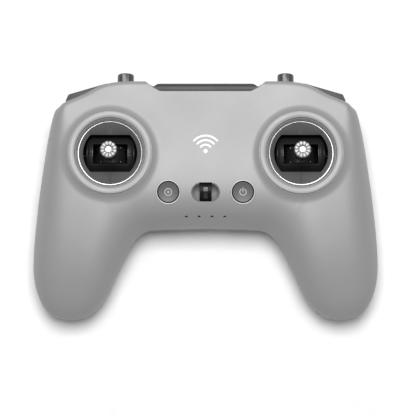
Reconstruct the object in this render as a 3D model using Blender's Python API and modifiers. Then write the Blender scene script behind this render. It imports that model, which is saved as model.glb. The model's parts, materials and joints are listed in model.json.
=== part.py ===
"""A handheld radio transmitter controller for a camera drone, lying on its back.

Metres, +Z up out of the face, +Y from the grips to the antenna edge, +X to the right.
The origin is the centre of the bounding box at its foot. Lengths are written in
millimetres and turned into metres by MM, mm() or the functions that build shapes.
"""

import math

import bmesh
import bpy
import numpy as np
from mathutils import Matrix, Vector
from mathutils.bvhtree import BVHTree

MM = 0.001
SIDES = (("left", -1), ("right", 1))
SIDEWAYS = Matrix(((0, 0, 1), (1, 0, 0), (0, 1, 0)))  # drawn in Y and Z, thick along X
FACING = Matrix(((1, 0, 0), (0, 0, -1), (0, 1, 0)))  # drawn in X and Z, thick along -Y

# ---------------------------------------------------------------- driving dimensions, mm
WALL = 2.0
SEAM_GAP = 0.3
GAP = 0.3  # left between neighbouring parts
CLEAR = 60.0  # far enough for a cutter to leave the body
SKIRT = 1.2  # upright band of each shell beside the seam

STICK_X, STICK_Y = 52.0, 22.3
PIVOT_Z = 21.0
BEZEL_TOP, BEZEL_RADIUS = 38.5, 22.5
WELL_RADIUS = 18.7  # outside of the bezel's neck
TRIM_INNER, TRIM_OUTER = 16.8, 17.5
MOUND_RADIUS, MOUND_TOP, MOUND_SLOPE, MOUND_BLEND = 22.0, 37.5, 1.3, 5.0
COVER_BOTTOM, COVER_TOP, COVER_RADIUS = 33.5, 34.5, 18.6
WINDOW_RADIUS, WINDOW_HALF_HEIGHT = 14.7, 10.1
CUP_RADIUS, CUP_INNER, CUP_FOOT, CUP_TOP = 19.2, 17.4, 6.0, 33.2
BARREL_RADIUS, BARREL_HALF = 12.2, 11.5
SLOT_HALF = (9.5, 5.4)
ROTOR_RADIUS, ROTOR_HALF = 8.8, 5.0
PIN_RADIUS, POST_RADIUS, POST_TOP = 1.4, 1.5, 36.0
CAP_RADIUS, STICK_TOP, STICK_FOOT = 4.6, 51.0, 30.2

BUTTON_X, BUTTON_Y, BUTTON_RADIUS, BUTTON_STEM = 20.3, 1.1, 5.75, 6.0
RING_INNER, RING_OUTER, RING_PROUD = 6.1, 6.65, 0.55
PILL_LENGTH, PILL_HEIGHT, PILL_DEPTH, BAR_WIDTH = 15.2, 10.0, 8.8, 6.5
LED_Y, LED_PITCH, LED_COUNT, LED_RADIUS = -11.8, 7.0, 4, 0.6

NOTCH = ((25.0, 56.6), (29.0, 58.8), (50.0, 76.4))  # its right side, from the floor outwards
ANTENNA_HALF, ANTENNA_BACK, ANTENNA_FRONT = 29.3, 56.3, 61.5
HINGE_Y, HINGE_Z, HINGE_RADIUS = 58.9, 29.9, 2.6
ANTENNA_FOOT = 8.8
CRADLE_HALF, CRADLE_BACK, POCKET_TOP = 32.8, 53.6, 33.3
TOGGLE_X, TOGGLE_Y, TOGGLE_Z = 44.1, 54.0, 25.0
TOGGLE_RADIUS, TOGGLE_FLAT, TOGGLE_END = 4.5, 4.1, 67.8  # the flats are above and below
SHOULDER_START, SHOULDER_END = (53.0, 60.7), (76.3, 50.9)
SHOULDER_PIN = (3.2, -4.9)
SHOULDER_FOOT, SHOULDER_TOP, SHOULDER_BORE = 19.2, 30.1, 1.3
SHOULDER_MOUTH = (0.2, 25.8)  # its opening, measured along the edge
DIAL_ALONG, DIAL_INWARD, DIAL_Z, DIAL_RADIUS = 12.0, -4.4, 9.3, 6.0
HOLDER_X, HOLDER_Z, HOLDER_MOUTH = 20.0, 9.6, -15.4
HOLDER_RADIUS, HOLDER_BORE = 5.6, 4.8
USB_Z = 9.0
BOARD_FOOT, BOARD_TOP = 20.0, 21.6
CELL_RADIUS, CELL_TOP, CELL_FOOT = 9.2, (67.5, -3.5, 15.6), (74.4, -51.5, 14.6)
SCREWS = {"upper": (77.5, 33.0, 2.4), "middle": (33.0, -10.0, 2.4), "lower": (73.0, -57.5, 7.0)}
SCREW_HEAD, SCREW_REACH = 2.6, 12.0

# The right half of the body as ribs from the middle round to the tip of the grip:
# inner end (x, y), outer end (x, y), then the heights of the seam, crown and keel.
RIBS = np.array([
    (0.0, -17.2, 0.0, 62.9, 17.0, 35.5, -0.8),
    (14.0, -17.6, 18.0, 62.9, 17.0, 35.5, -0.8),
    (24.5, -17.9, 34.0, 62.9, 17.0, 35.5, -0.8),
    (31.0, -18.4, 46.6, 62.7, 17.0, 35.5, -0.8),
    (35.0, -20.1, 56.7, 60.8, 17.0, 35.5, -0.8),
    (37.7, -22.5, 66.7, 55.8, 17.0, 35.5, -0.8),
    (39.3, -24.4, 77.0, 51.5, 17.0, 35.5, -0.8),
    (40.3, -26.0, 80.4, 49.2, 17.0, 35.5, -0.8),
    (41.1, -27.6, 83.6, 46.3, 17.0, 35.4, -0.8),
    (42.3, -29.4, 86.4, 36.0, 16.8, 35.2, -0.6),
    (43.9, -32.6, 89.1, 20.0, 16.5, 34.7, -0.4),
    (46.0, -36.9, 91.5, 3.5, 16.0, 33.8, -0.4),
    (48.6, -42.4, 93.4, -13.5, 15.5, 32.4, -0.4),
    (51.4, -48.6, 94.7, -30.0, 15.0, 30.2, 0.2),
    (54.6, -55.0, 94.6, -44.0, 14.5, 27.2, 1.6),
    (59.6, -61.4, 91.5, -56.0, 14.2, 23.6, 4.2),
    (65.85, -65.9, 85.5, -64.45, 14.0, 19.4, 8.2),
    (74.5, -67.8, 74.5, -67.8, 14.0, 15.4, 12.6),
])
# How square the section is: rib number, then power and root at the inner and outer ends.
FRONT_SHAPE = np.array([
    (0, 5.0, 1.4, 50.0, 4.0),
    (6, 4.4, 1.5, 50.0, 4.0),
    (7, 4.2, 1.5, 24.0, 3.2),
    (8, 4.0, 1.5, 11.0, 2.4),
    (9, 3.8, 1.5, 8.0, 1.8),
    (10, 3.5, 1.6, 5.6, 1.6),
    (12, 3.1, 1.7, 3.8, 1.6),
    (14, 2.7, 2.0, 2.6, 2.0),
    (17, 2.3, 2.0, 2.3, 2.0),
])
REAR_SHAPE = np.array([
    (0, 16.0, 2.0, 16.0, 2.0),
    (4, 14.0, 2.0, 16.0, 2.0),
    (8, 6.0, 2.0, 10.0, 2.0),
    (10, 4.0, 2.0, 5.0, 2.0),
    (13, 3.0, 2.0, 3.0, 2.0),
    (17, 2.3, 2.0, 2.3, 2.0),
])
FRONT_STEPS, REAR_STEPS = (18, 14), (17, 10)  # along the ribs, across them


def mm(*values):
    """One length, or a vector of several, from millimetres to metres."""
    return values[0] * MM if len(values) == 1 else Vector(values) * MM


# ---------------------------------------------------------------- scene, materials
def clear_scene():
    for old in list(bpy.data.objects):
        bpy.data.objects.remove(old)


def new_collection(name, hidden=False):
    made = bpy.data.collections.new(name)
    made.hide_render = hidden
    bpy.context.scene.collection.children.link(made)
    return made


def new_material(name, colour, roughness, metallic=0.0):
    made = bpy.data.materials.new(name)
    made.use_nodes = True
    shader = made.node_tree.nodes["Principled BSDF"]
    shader.inputs["Base Color"].default_value = (*colour, 1.0)
    shader.inputs["Roughness"].default_value = roughness
    shader.inputs["Metallic"].default_value = metallic
    return made


clear_scene()
PARTS = new_collection("radio_transmitter_controller")
CUTTERS = new_collection("cutters", hidden=True)
SHELL_GREY = new_material("shell_grey", (0.50, 0.50, 0.50), 0.45)
BEZEL_GREY = new_material("bezel_grey", (0.58, 0.58, 0.58), 0.40)
DARK_GREY = new_material("dark_grey", (0.10, 0.10, 0.105), 0.45)
BLACK = new_material("black", (0.012, 0.012, 0.013), 0.35)
RUBBER = new_material("rubber", (0.05, 0.05, 0.05), 0.8)
ALUMINIUM = new_material("aluminium", (0.86, 0.86, 0.87), 0.28, 1.0)
STEEL = new_material("steel", (0.55, 0.55, 0.56), 0.35, 1.0)
BOARD_GREEN = new_material("board_green", (0.02, 0.09, 0.05), 0.5)
CELL_BLUE = new_material("cell_sleeve", (0.03, 0.12, 0.32), 0.4)
LIGHT_GUIDE = new_material("light_guide", (0.75, 0.75, 0.75), 0.2)


# ---------------------------------------------------------------- shape tools
def add_object(name, mesh, material, location=(0, 0, 0), rotation=None):
    made = bpy.data.objects.new(name, mesh)
    made.location = location
    if rotation is not None:
        made.rotation_euler = rotation.to_euler()
    if material is None:
        made.hide_render = True
        made.display_type = "WIRE"
        CUTTERS.objects.link(made)
    else:
        made.data.materials.append(material)
        PARTS.objects.link(made)
    return made


def mesh_of(bm, name):
    mesh = bpy.data.meshes.new(name)
    bm.to_mesh(mesh)
    bm.free()
    return mesh


def turn_to(axis):
    """The rotation that carries +Z to the axis: "X", "Y", "Z" or a direction."""
    if isinstance(axis, str):
        axis = Vector([float(letter == axis) for letter in "XYZ"])
    return Vector((0, 0, 1)).rotation_difference(axis).to_matrix()


def box(name, low, high, material=None, pivot=None, turn=None):
    """A block between two corners. With a turn, the corners are in axes turned about the pivot."""
    low, high = mm(*low), mm(*high)
    origin = Vector((low + high) / 2) if pivot is None else mm(*pivot)
    bm = bmesh.new()
    bmesh.ops.create_cube(bm, size=1.0)
    middle = Vector((0, 0, 0)) if pivot is None else (low + high) / 2
    fit = Matrix.Translation(middle) @ Matrix.Diagonal((*(high - low), 1.0))
    bmesh.ops.transform(bm, matrix=fit, verts=bm.verts)
    return add_object(name, mesh_of(bm, name), material, origin, turn)


def cylinder(name, radius, start, end, material=None, sides=16):
    """A round bar between two points."""
    start, end = mm(*start), mm(*end)
    bm = bmesh.new()
    bmesh.ops.create_cone(bm, cap_ends=True, segments=sides, radius1=mm(radius),
                          radius2=mm(radius), depth=(end - start).length)
    turn = turn_to((end - start).normalized())
    made = add_object(name, mesh_of(bm, name), material, (start + end) / 2, turn)
    made.data.shade_smooth()
    made.data.set_sharp_from_angle(angle=math.radians(35))
    return made


def turned(name, profile, centre, material=None, axis="Z", steps=24):
    """A profile of (radius, height) turned about the axis through the centre. A ring's closes on itself."""
    bm = bmesh.new()
    closed = min(radius for radius, height in profile) > 0
    corners = [bm.verts.new(mm(radius, 0, height)) for radius, height in profile]
    for first, second in zip(corners, corners[1:] + corners[:closed]):
        bm.edges.new((first, second))
    made = add_object(name, mesh_of(bm, name), material, mm(*centre), turn_to(axis))
    screw = made.modifiers.new("Turn", "SCREW")
    screw.steps = screw.render_steps = steps
    screw.use_merge_vertices = True
    screw.merge_threshold = 0.00005
    screw.use_smooth_shade = True
    return made


def plate(name, outline, low, high, material=None, location=(0, 0, 0), turn=None):
    """A flat outline with thickness from low to high along its own Z, made a welded mesh."""
    curve = bpy.data.curves.new(name, "CURVE")
    curve.dimensions = "2D"
    curve.fill_mode = "BOTH"
    curve.extrude = mm((high - low) / 2)
    spline = curve.splines.new("POLY")
    spline.points.add(len(outline) - 1)
    for point, (x, y) in zip(spline.points, outline):
        point.co = (mm(x), mm(y), 0, 1)
    spline.use_cyclic_u = True
    guide = bpy.data.objects.new(name + "_outline", curve)
    bpy.context.scene.collection.objects.link(guide)
    graph = bpy.context.evaluated_depsgraph_get()
    mesh = bpy.data.meshes.new_from_object(guide.evaluated_get(graph), depsgraph=graph)
    bpy.data.objects.remove(guide)
    bm = bmesh.new()
    bm.from_mesh(mesh)
    bmesh.ops.translate(bm, vec=mm(0, 0, (low + high) / 2), verts=bm.verts)
    bmesh.ops.remove_doubles(bm, verts=bm.verts, dist=0.00001)
    bmesh.ops.recalc_face_normals(bm, faces=bm.faces)
    mesh = mesh_of(bm, name)
    mesh.materials.clear()
    return add_object(name, mesh, material, mm(*location), turn)


def combine(target, operation, *others):
    """Cuts the others out of the target, or joins or intersects them with it."""
    for other in others:
        modifier = target.modifiers.new(other.name, "BOOLEAN")
        modifier.operation = operation
        modifier.object = other
    return target


def cut(target, *others):
    return combine(target, "DIFFERENCE", *others)


def join(target, *others):
    return combine(target, "UNION", *others)


def arc(centre, radius, start, end, steps):
    """Points along an arc, angles in degrees, as (x, y) in mm."""
    angles = np.radians(np.linspace(start, end, steps + 1))
    return [(centre[0] + radius * math.cos(a), centre[1] + radius * math.sin(a)) for a in angles]


def pill(length, height, steps=8):
    """A rounded slot outline centred on the origin."""
    radius = height / 2
    offset = length / 2 - radius
    return arc((offset, 0), radius, -90, 90, steps) + arc((-offset, 0), radius, 90, 270, steps)


def mirrored(outline, sign):
    """The outline as drawn for the right side, or its mirror image for the left, wound the same way."""
    return outline if sign > 0 else [(-x, y) for x, y in reversed(outline)]


# ---------------------------------------------------------------- the body's surface
def along_ribs(at):
    """The rib table at fractional rib numbers, smooth through every rib (Catmull-Rom)."""
    before = RIBS[1] * (-1, 1, -1, 1, 1, 1, 1)
    after = 2 * RIBS[-1] - RIBS[-2]
    rows = np.vstack([before, RIBS, after])
    index = np.minimum(np.floor(at).astype(int), len(RIBS) - 2)
    t = (np.asarray(at) - index)[:, None]
    p0, p1, p2, p3 = (rows[index + k] for k in range(4))
    return 0.5 * (2 * p1 + (p2 - p0) * t + (2 * p0 - 5 * p1 + 4 * p2 - p3) * t**2
                  + (3 * p1 - p0 - 3 * p2 + p3) * t**3)


def section_height(shape, at, across):
    """0 at the ends of a rib to 1 at its middle. across runs from -1, inner, to 1, outer."""
    inner_power, inner_root, outer_power, outer_root = (
        np.interp(at, shape[:, 0], shape[:, k]) for k in range(1, 5))
    power = np.where(across < 0, inner_power, outer_power)
    root = np.where(across < 0, inner_root, outer_root)
    return (1 - np.abs(across) ** power) ** (1 / root)


def raise_mounds(x, y, z):
    """Blends the raised collar round each stick into the face."""
    reach = np.hypot(np.abs(x) - STICK_X, y - STICK_Y)
    cone = MOUND_TOP - MOUND_SLOPE * np.maximum(reach - MOUND_RADIUS, 0)
    mix = np.maximum(MOUND_BLEND - np.abs(cone - z), 0) / MOUND_BLEND
    return np.maximum(cone, z) + mix**2 * MOUND_BLEND / 4


def shell_mesh(name, front):
    """The open outer surface of the front or rear half of the body, both sides, as one mesh."""
    last = len(RIBS) - 1
    rib_steps, across_steps = FRONT_STEPS if front else REAR_STEPS
    at = np.linspace(0, last, rib_steps + 1)
    across = np.sin(np.linspace(-1, 1, across_steps + 1) * math.pi / 2)
    table = along_ribs(at)
    inner, outer = table[:, None, 0:2], table[:, None, 2:4]
    seam, crown, keel = (table[:, None, k] for k in (4, 5, 6))
    plan = inner + (outer - inner) * (across[None, :, None] + 1) / 2
    x, y = plan[..., 0], plan[..., 1]
    x[0] = 0.0
    shape = FRONT_SHAPE if front else REAR_SHAPE
    height = section_height(shape, at[:, None], across[None, :])
    up = 1 if front else -1
    limit = crown if front else keel
    base = np.where(up * (limit - seam) > SKIRT, seam + up * SKIRT, (seam + limit) / 2)
    z = base + (limit - base) * height
    z = raise_mounds(x, y, z) if front else np.maximum(z, 0.0)
    edge = np.broadcast_to(seam + up * SEAM_GAP / 2, (len(at), 1))
    x = np.hstack([x[:, :1], x, x[:, -1:]])
    y = np.hstack([y[:, :1], y, y[:, -1:]])
    z = np.hstack([edge, z, edge])
    bm = bmesh.new()
    for side in (1, -1):
        grid = [[bm.verts.new(mm(side * px, py, pz)) for px, py, pz in zip(*row)]
                for row in zip(x, y, z)]
        for row, following in zip(grid, grid[1:]):
            for a, b, c, d in zip(row, row[1:], following[1:], following):
                bm.faces.new((a, b, c, d))
    bmesh.ops.remove_doubles(bm, verts=bm.verts, dist=mm(0.02))
    bmesh.ops.recalc_face_normals(bm, faces=bm.faces)
    topmost = max(bm.faces, key=lambda face: up * face.calc_center_median().z)
    if topmost.normal.z * up < 0:
        bmesh.ops.reverse_faces(bm, faces=bm.faces)
    return mesh_of(bm, name)


def shell(name, front):
    made = add_object(name, shell_mesh(name, front), SHELL_GREY)
    made.data.shade_smooth()
    wall = made.modifiers.new("Wall", "SOLIDIFY")
    wall.thickness = mm(WALL)
    wall.offset = -1
    wall.use_even_offset = True
    return made


# ---------------------------------------------------------------- places on the shoulder
SHOULDER_DIRECTION = (Vector(SHOULDER_END) - Vector(SHOULDER_START)).normalized()
SHOULDER_NORMAL = Vector((-SHOULDER_DIRECTION.y, SHOULDER_DIRECTION.x))


def on_shoulder(along, outward, sign=1):
    """A point (x, y) in mm, measured along the shoulder's edge and out from it."""
    point = Vector(SHOULDER_START) + along * SHOULDER_DIRECTION + outward * SHOULDER_NORMAL
    return (sign * point.x, point.y)


def shoulder_plate(name, outline, low, high, sign, material=None, origin=(0, 0)):
    """A plate drawn along the shoulder, its origin at a point (along, outward) there."""
    ox, oy = on_shoulder(*origin)
    drawn = [on_shoulder(*point) for point in outline]
    centred = mirrored([(x - ox, y - oy) for x, y in drawn], sign)
    return plate(name, centred, low, high, material, (sign * ox, oy, 0))


def shoulder_block(along, outward):
    """The outline of a block along the shoulder, wound anticlockwise."""
    (a, b), (c, d) = along, outward
    return [(a, c), (b, c), (b, d), (a, d)]


# ---------------------------------------------------------------- seats on the face
def surface_of(shell_object):
    mesh = shell_object.data
    return BVHTree.FromPolygons([corner.co for corner in mesh.vertices],
                                [face.vertices[:] for face in mesh.polygons])


def face_height(surface, x, y):
    """Height in mm of the front shell's outside above the point (x, y)."""
    hit = surface.ray_cast(mm(x, y, 100), Vector((0, 0, -1)))[0]
    return hit.z / MM


class Seat:
    """A place on the sloping face: the point, in mm, and the axes of a piece that lies flush there."""

    def __init__(self, surface, x, y, reach):
        above, below = (face_height(surface, x, y + step) for step in (reach, -reach))
        slope = math.atan2(above - below, 2 * reach)
        self.point = Vector((x, y, (above + below) / 2))
        self.normal = Vector((0, -math.sin(slope), math.cos(slope)))
        self.turn = Matrix.Rotation(slope, 3, "X")

    def up(self, height, aside=0):
        """A point on the seat's own axis, or beside it along X."""
        return self.point + height * self.normal + Vector((aside, 0, 0))


def ring_profile(inner, outer, low, high):
    return [(outer, high), (outer, low), (inner, low), (inner, high)]


# ---------------------------------------------------------------- gimbals and sticks
def make_gimbal(side, sign):
    centre = (sign * STICK_X, STICK_Y, 0)
    pivot = (sign * STICK_X, STICK_Y, PIVOT_Z)
    px, py, pz = pivot
    seat = BEZEL_TOP - 1.3
    turned(side + "_stick_bezel", [
        (BEZEL_RADIUS - 0.3, BEZEL_TOP), (BEZEL_RADIUS, BEZEL_TOP - 0.3), (BEZEL_RADIUS, seat),
        (WELL_RADIUS, seat), (WELL_RADIUS, COVER_TOP + GAP), (WELL_RADIUS - 0.9, COVER_TOP + GAP),
        (WELL_RADIUS - 0.9, COVER_TOP + 1.0), (WELL_RADIUS + 0.6, BEZEL_TOP)],
        centre, BEZEL_GREY)
    turned(side + "_trim_ring", [
        (TRIM_OUTER, COVER_TOP + 0.8), (TRIM_OUTER, COVER_TOP + GAP), (TRIM_INNER, COVER_TOP + GAP),
        (TRIM_INNER, COVER_TOP + 0.7)], centre, ALUMINIUM)

    cover = turned(side + "_gimbal_cover",
                   [(0, COVER_TOP), (COVER_RADIUS, COVER_TOP), (COVER_RADIUS, COVER_BOTTOM),
                    (0, COVER_BOTTOM)], centre, DARK_GREY)
    bow = math.degrees(math.asin(WINDOW_HALF_HEIGHT / WINDOW_RADIUS))
    window = (arc((0, 0), WINDOW_RADIUS, -bow, bow, 6)
              + arc((0, 0), WINDOW_RADIUS, 180 - bow, 180 + bow, 6))
    cut(cover, plate(side + "_window", window, COVER_BOTTOM - 2, COVER_TOP + 2, None, centre))

    cup = turned(side + "_gimbal_housing", [
        (0, CUP_FOOT + 1.6), (CUP_INNER, CUP_FOOT + 1.6), (CUP_INNER, CUP_TOP),
        (CUP_RADIUS, CUP_TOP), (CUP_RADIUS, CUP_FOOT), (0, CUP_FOOT)], centre, BLACK)
    cut(cup, cylinder(side + "_bearings", PIN_RADIUS + GAP, (px - 25, py, pz), (px + 25, py, pz)))

    yoke = cylinder(side + "_yoke", BARREL_RADIUS, (px - BARREL_HALF, py, pz),
                    (px + BARREL_HALF, py, pz), BLACK, sides=24)
    pins = cylinder(side + "_yoke_pins", PIN_RADIUS, (px - 18.7, py, pz), (px + 18.7, py, pz))
    slot = box(side + "_slot", (px - SLOT_HALF[0], py - SLOT_HALF[1], 0),
               (px + SLOT_HALF[0], py + SLOT_HALF[1], 60))
    bores = cylinder(side + "_rotor_bores", PIN_RADIUS + GAP, (px, py - 9.2, pz),
                     (px, py + 9.2, pz))
    cut(join(yoke, pins), slot, bores)

    rotor = cylinder(side + "_rotor", ROTOR_RADIUS, (px, py - ROTOR_HALF, pz),
                     (px, py + ROTOR_HALF, pz), DARK_GREY, sides=24)
    rotor_pins = cylinder(side + "_rotor_pins", PIN_RADIUS, (px, py - 8.8, pz),
                          (px, py + 8.8, pz))
    post = cylinder(side + "_post", POST_RADIUS, pivot, (px, py, POST_TOP))
    join(rotor, rotor_pins, post)

    turned(side + "_stick", [
        (0, STICK_TOP - 0.2), (1.8, STICK_TOP - 0.2), (2.1, STICK_TOP), (CAP_RADIUS - 0.4, STICK_TOP),
        (CAP_RADIUS, STICK_TOP - 0.5), (CAP_RADIUS - 0.5, STICK_TOP - 3), (3.2, STICK_TOP - 6),
        (2.7, STICK_TOP - 9.5), (2.7, STICK_FOOT), (POST_RADIUS + GAP, STICK_FOOT),
        (POST_RADIUS + GAP, POST_TOP + 0.4), (0, POST_TOP + 0.4)], centre, ALUMINIUM)


# ---------------------------------------------------------------- face controls
def make_button(name, seat):
    turned(name + "_button_ring", ring_profile(RING_INNER, RING_OUTER, -3.2, RING_PROUD),
           seat.point, ALUMINIUM, seat.normal)
    turned(name + "_button", [
        (0, -0.3), (3.4, -0.1), (5.2, 0.3), (BUTTON_RADIUS - 0.3, 0.3), (BUTTON_RADIUS, 0),
        (BUTTON_RADIUS, -2.2), (1.6, -2.2), (1.6, -BUTTON_STEM), (0, -BUTTON_STEM)],
        seat.point, DARK_GREY, seat.normal)
    x, y, z = seat.up(-BUTTON_STEM)
    box(name + "_button_switch", (x - 3.1, y - 3.1, BOARD_TOP + GAP),
        (x + 3.1, y + 3.1, z - 1.2), BLACK)


def make_lanyard_eye(seat):
    outer, inner = pill(PILL_LENGTH, PILL_HEIGHT), pill(PILL_LENGTH - 1.8, PILL_HEIGHT - 1.8)
    recess = plate("lanyard_recess", outer, -PILL_DEPTH, 0, BEZEL_GREY, seat.point, seat.turn)
    hollow = plate("lanyard_hollow", inner, -PILL_DEPTH + 1.2, 3, None, seat.point, seat.turn)
    half = BAR_WIDTH / 2
    notch = box("lanyard_notch", (-half - GAP, -9, -2.1), (half + GAP, 9, 3), None,
                seat.point, seat.turn)
    cut(recess, hollow, notch)
    end = PILL_HEIGHT / 2
    outline = [(-end, 0.1), (-end, -1.8), (end, -1.8), (end, 0.1)] + arc((0, -8.2), 8.6, 70, 110, 4)
    plate("lanyard_bar", outline, -half, half, BLACK, seat.point, seat.turn @ SIDEWAYS)


def make_light_guide(seat):
    length = (LED_COUNT - 1) * LED_PITCH / 2
    guide = box("led_light_guide", (-length - 1.5, -1.2, -5), (length + 1.5, 1.2, -2.9), LIGHT_GUIDE,
                seat.point, seat.turn)
    for number in range(LED_COUNT):
        aside = (number - (LED_COUNT - 1) / 2) * LED_PITCH
        join(guide, cylinder(f"led_post_{number}", LED_RADIUS, seat.up(-4, aside),
                             seat.up(-0.1, aside), sides=12))


def led_holes(seat):
    for number in range(LED_COUNT):
        aside = (number - (LED_COUNT - 1) / 2) * LED_PITCH
        yield cylinder(f"led_hole_{number}", LED_RADIUS + 0.25, seat.up(-3.5, aside),
                       seat.up(3, aside), sides=12)


# ---------------------------------------------------------------- antenna
def make_antenna():
    back, front = ANTENNA_BACK - HINGE_Y, ANTENNA_FRONT - HINGE_Y
    foot = ANTENNA_FOOT - HINGE_Z
    round_back = 1.6  # small enough for the back edge to sweep past the cradle
    middle = HINGE_RADIUS - round_back
    side_view = arc((0, 0), HINGE_RADIUS, 0, 90, 5) + arc((-middle, middle), round_back, 90, 180, 4)
    side_view += [(back, foot), (front - 1.6, foot), (front - 0.5, foot + 0.6), (front, foot + 2)]
    antenna = plate("antenna", side_view, -ANTENNA_HALF, ANTENNA_HALF, DARK_GREY,
                    (0, HINGE_Y, HINGE_Z), SIDEWAYS)
    half, corner = ANTENNA_HALF, 5.0
    plan = [(-half, back - 1), (half, back - 1)]
    plan += arc((half - corner, front - corner), corner, 0, 90, 6)
    plan += arc((corner - half, front - corner), corner, 90, 180, 6)
    above = plate("antenna_plan", plan, -40, 40, None, (0, HINGE_Y, HINGE_Z))
    combine(antenna, "INTERSECT", above)
    join(antenna, cylinder("antenna_pins", 1.2, (-31.4, HINGE_Y, HINGE_Z), (31.4, HINGE_Y, HINGE_Z)))

    wall, foot = CRADLE_HALF - GAP, ANTENNA_FOOT - 2.3
    cradle = box("antenna_cradle", (-wall, CRADLE_BACK + GAP, foot), (wall, 60.3, POCKET_TOP - GAP),
                 BLACK)
    room = box("antenna_room", (-ANTENNA_HALF - 0.4, ANTENNA_BACK - 0.9, ANTENNA_FOOT - 0.7),
               (ANTENNA_HALF + 0.4, 70, 50))
    holes = cylinder("antenna_pin_holes", 1.5, (-31.8, HINGE_Y, HINGE_Z), (31.8, HINGE_Y, HINGE_Z))
    cut(cradle, room, holes)


def antenna_pocket():
    half = CRADLE_HALF
    return box("antenna_pocket", (-half, CRADLE_BACK, ANTENNA_FOOT - 2.6), (half, 80, POCKET_TOP))


def antenna_notch():
    outline = list(NOTCH) + [(-x, y) for x, y in reversed(NOTCH)]
    return plate("antenna_notch", outline, 30, CLEAR)


# ---------------------------------------------------------------- top edge controls
def make_toggle(side, sign):
    x = sign * TOGGLE_X
    reach = TOGGLE_END - TOGGLE_Y
    knob = turned(side + "_toggle", [
        (0, reach), (2.5, reach - 0.1), (3.8, reach - 0.6), (TOGGLE_RADIUS, reach - 1.8),
        (TOGGLE_RADIUS, 4.6), (2.4, 3.4), (2.4, -1.6), (0, -1.6)],
        (x, TOGGLE_Y, TOGGLE_Z), DARK_GREY, "Y")
    flats = box(side + "_toggle_flats", (x - 6, 50, TOGGLE_Z - TOGGLE_FLAT),
                (x + 6, 70, TOGGLE_Z + TOGGLE_FLAT))
    combine(knob, "INTERSECT", flats)
    join(knob, cylinder(side + "_toggle_pin", 1.1, (x - 5.9, TOGGLE_Y, TOGGLE_Z),
                        (x + 5.9, TOGGLE_Y, TOGGLE_Z), sides=12))
    housing = box(side + "_toggle_housing", (x - 6.4, 47.6, TOGGLE_Z - 7.6),
                  (x + 6.4, 56.8, TOGGLE_Z + 7.0), BLACK)
    room = box(side + "_toggle_room", (x - 5.0, 50.6, TOGGLE_Z - 6.4),
               (x + 5.0, 70, TOGGLE_Z + 6.4))
    bores = cylinder(side + "_toggle_bores", 1.4, (x - 8, TOGGLE_Y, TOGGLE_Z),
                     (x + 8, TOGGLE_Y, TOGGLE_Z), sides=12)
    cut(housing, room, bores)


def toggle_opening(side, sign):
    x = sign * TOGGLE_X
    return box(side + "_toggle_opening", (x - 5.0, 55, TOGGLE_Z - 6.4), (x + 5.0, 70, TOGGLE_Z + 6.4))


def make_shoulder(side, sign):
    along, outward = SHOULDER_PIN
    pin_x, pin_y = on_shoulder(along, outward, sign)
    low, high = SHOULDER_FOOT, SHOULDER_TOP
    outline = [(1.1, -4.9), (5.3, -4.9), (5.3, -1.4), (25.4, -1.4), (25.4, 1.2),
               (22.6, 3.9), (0.6, 1.4), (0.6, -1.4), (1.1, -1.4)]
    paddle = shoulder_plate(side + "_shoulder_button", outline, low, high, sign, DARK_GREY,
                            SHOULDER_PIN)
    knuckle = cylinder(side + "_shoulder_knuckle", 2.1, (pin_x, pin_y, low), (pin_x, pin_y, high))
    bore = cylinder(side + "_shoulder_bore", SHOULDER_BORE, (pin_x, pin_y, 0), (pin_x, pin_y, CLEAR),
                    sides=16)
    cut(join(paddle, knuckle), bore)
    cylinder(side + "_shoulder_pin", SHOULDER_BORE - GAP, (pin_x, pin_y, low - 1.5),
             (pin_x, pin_y, high + 1.2), STEEL)
    bracket = shoulder_plate(side + "_shoulder_bracket", shoulder_block((1.7, 5.8), (-9.2, -3.6)),
                             low - 1.6, high + 1.3, sign, BLACK)
    gap = shoulder_plate(side + "_shoulder_gap", shoulder_block((-3, 9), (-7.4, 2)), low - GAP,
                         high + GAP, sign)
    cut(bracket, gap, bore)
    shoulder_plate(side + "_shoulder_switch", shoulder_block((15.5, 21.5), (-7.4, -2.9)), 21.5, 28,
                   sign, BLACK)


def shoulder_opening(side, sign):
    return shoulder_plate(side + "_shoulder_opening", shoulder_block(SHOULDER_MOUTH, (-5, 8)),
                          SHOULDER_FOOT - GAP, SHOULDER_TOP + GAP, sign)


def make_dial(sign):
    x, y = on_shoulder(DIAL_ALONG, DIAL_INWARD, sign)
    centre = Vector((x, y, DIAL_Z))
    axis = Vector((*on_shoulder(1, 0, sign), 0)) - Vector((*on_shoulder(0, 0, sign), 0))
    steps = 20
    teeth = []
    for number in range(steps):
        middle = 360 * number / steps
        teeth += arc((0, 0), DIAL_RADIUS, middle - 5, middle + 5, 1)
        teeth += arc((0, 0), DIAL_RADIUS - 0.5, middle + 8, middle + 10, 1)
    dial = plate("tilt_dial", teeth, -2.9, 2.9, DARK_GREY, centre, turn_to(axis))
    cut(dial, cylinder("dial_bore", 1.4, centre - 9 * axis, centre + 9 * axis))
    cylinder("dial_axle", 1.1, centre - 6.2 * axis, centre + 6.2 * axis, STEEL, sides=16)
    bracket = shoulder_plate("dial_bracket", shoulder_block((5.4, 18.6), (-12.6, -3.4)), 7.9, 14.6,
                             sign, BLACK)
    gap = shoulder_plate("dial_gap", shoulder_block((8.7, 15.3), (-10.9, 3)), 0, 30, sign)
    cut(bracket, gap, cylinder("dial_bracket_bore", 1.4, centre - 9 * axis, centre + 9 * axis))


def dial_opening(sign):
    return shoulder_plate("dial_opening", shoulder_block((8.6, 15.4), (-6.5, 5)), 2.7, 15.3, sign)


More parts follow.
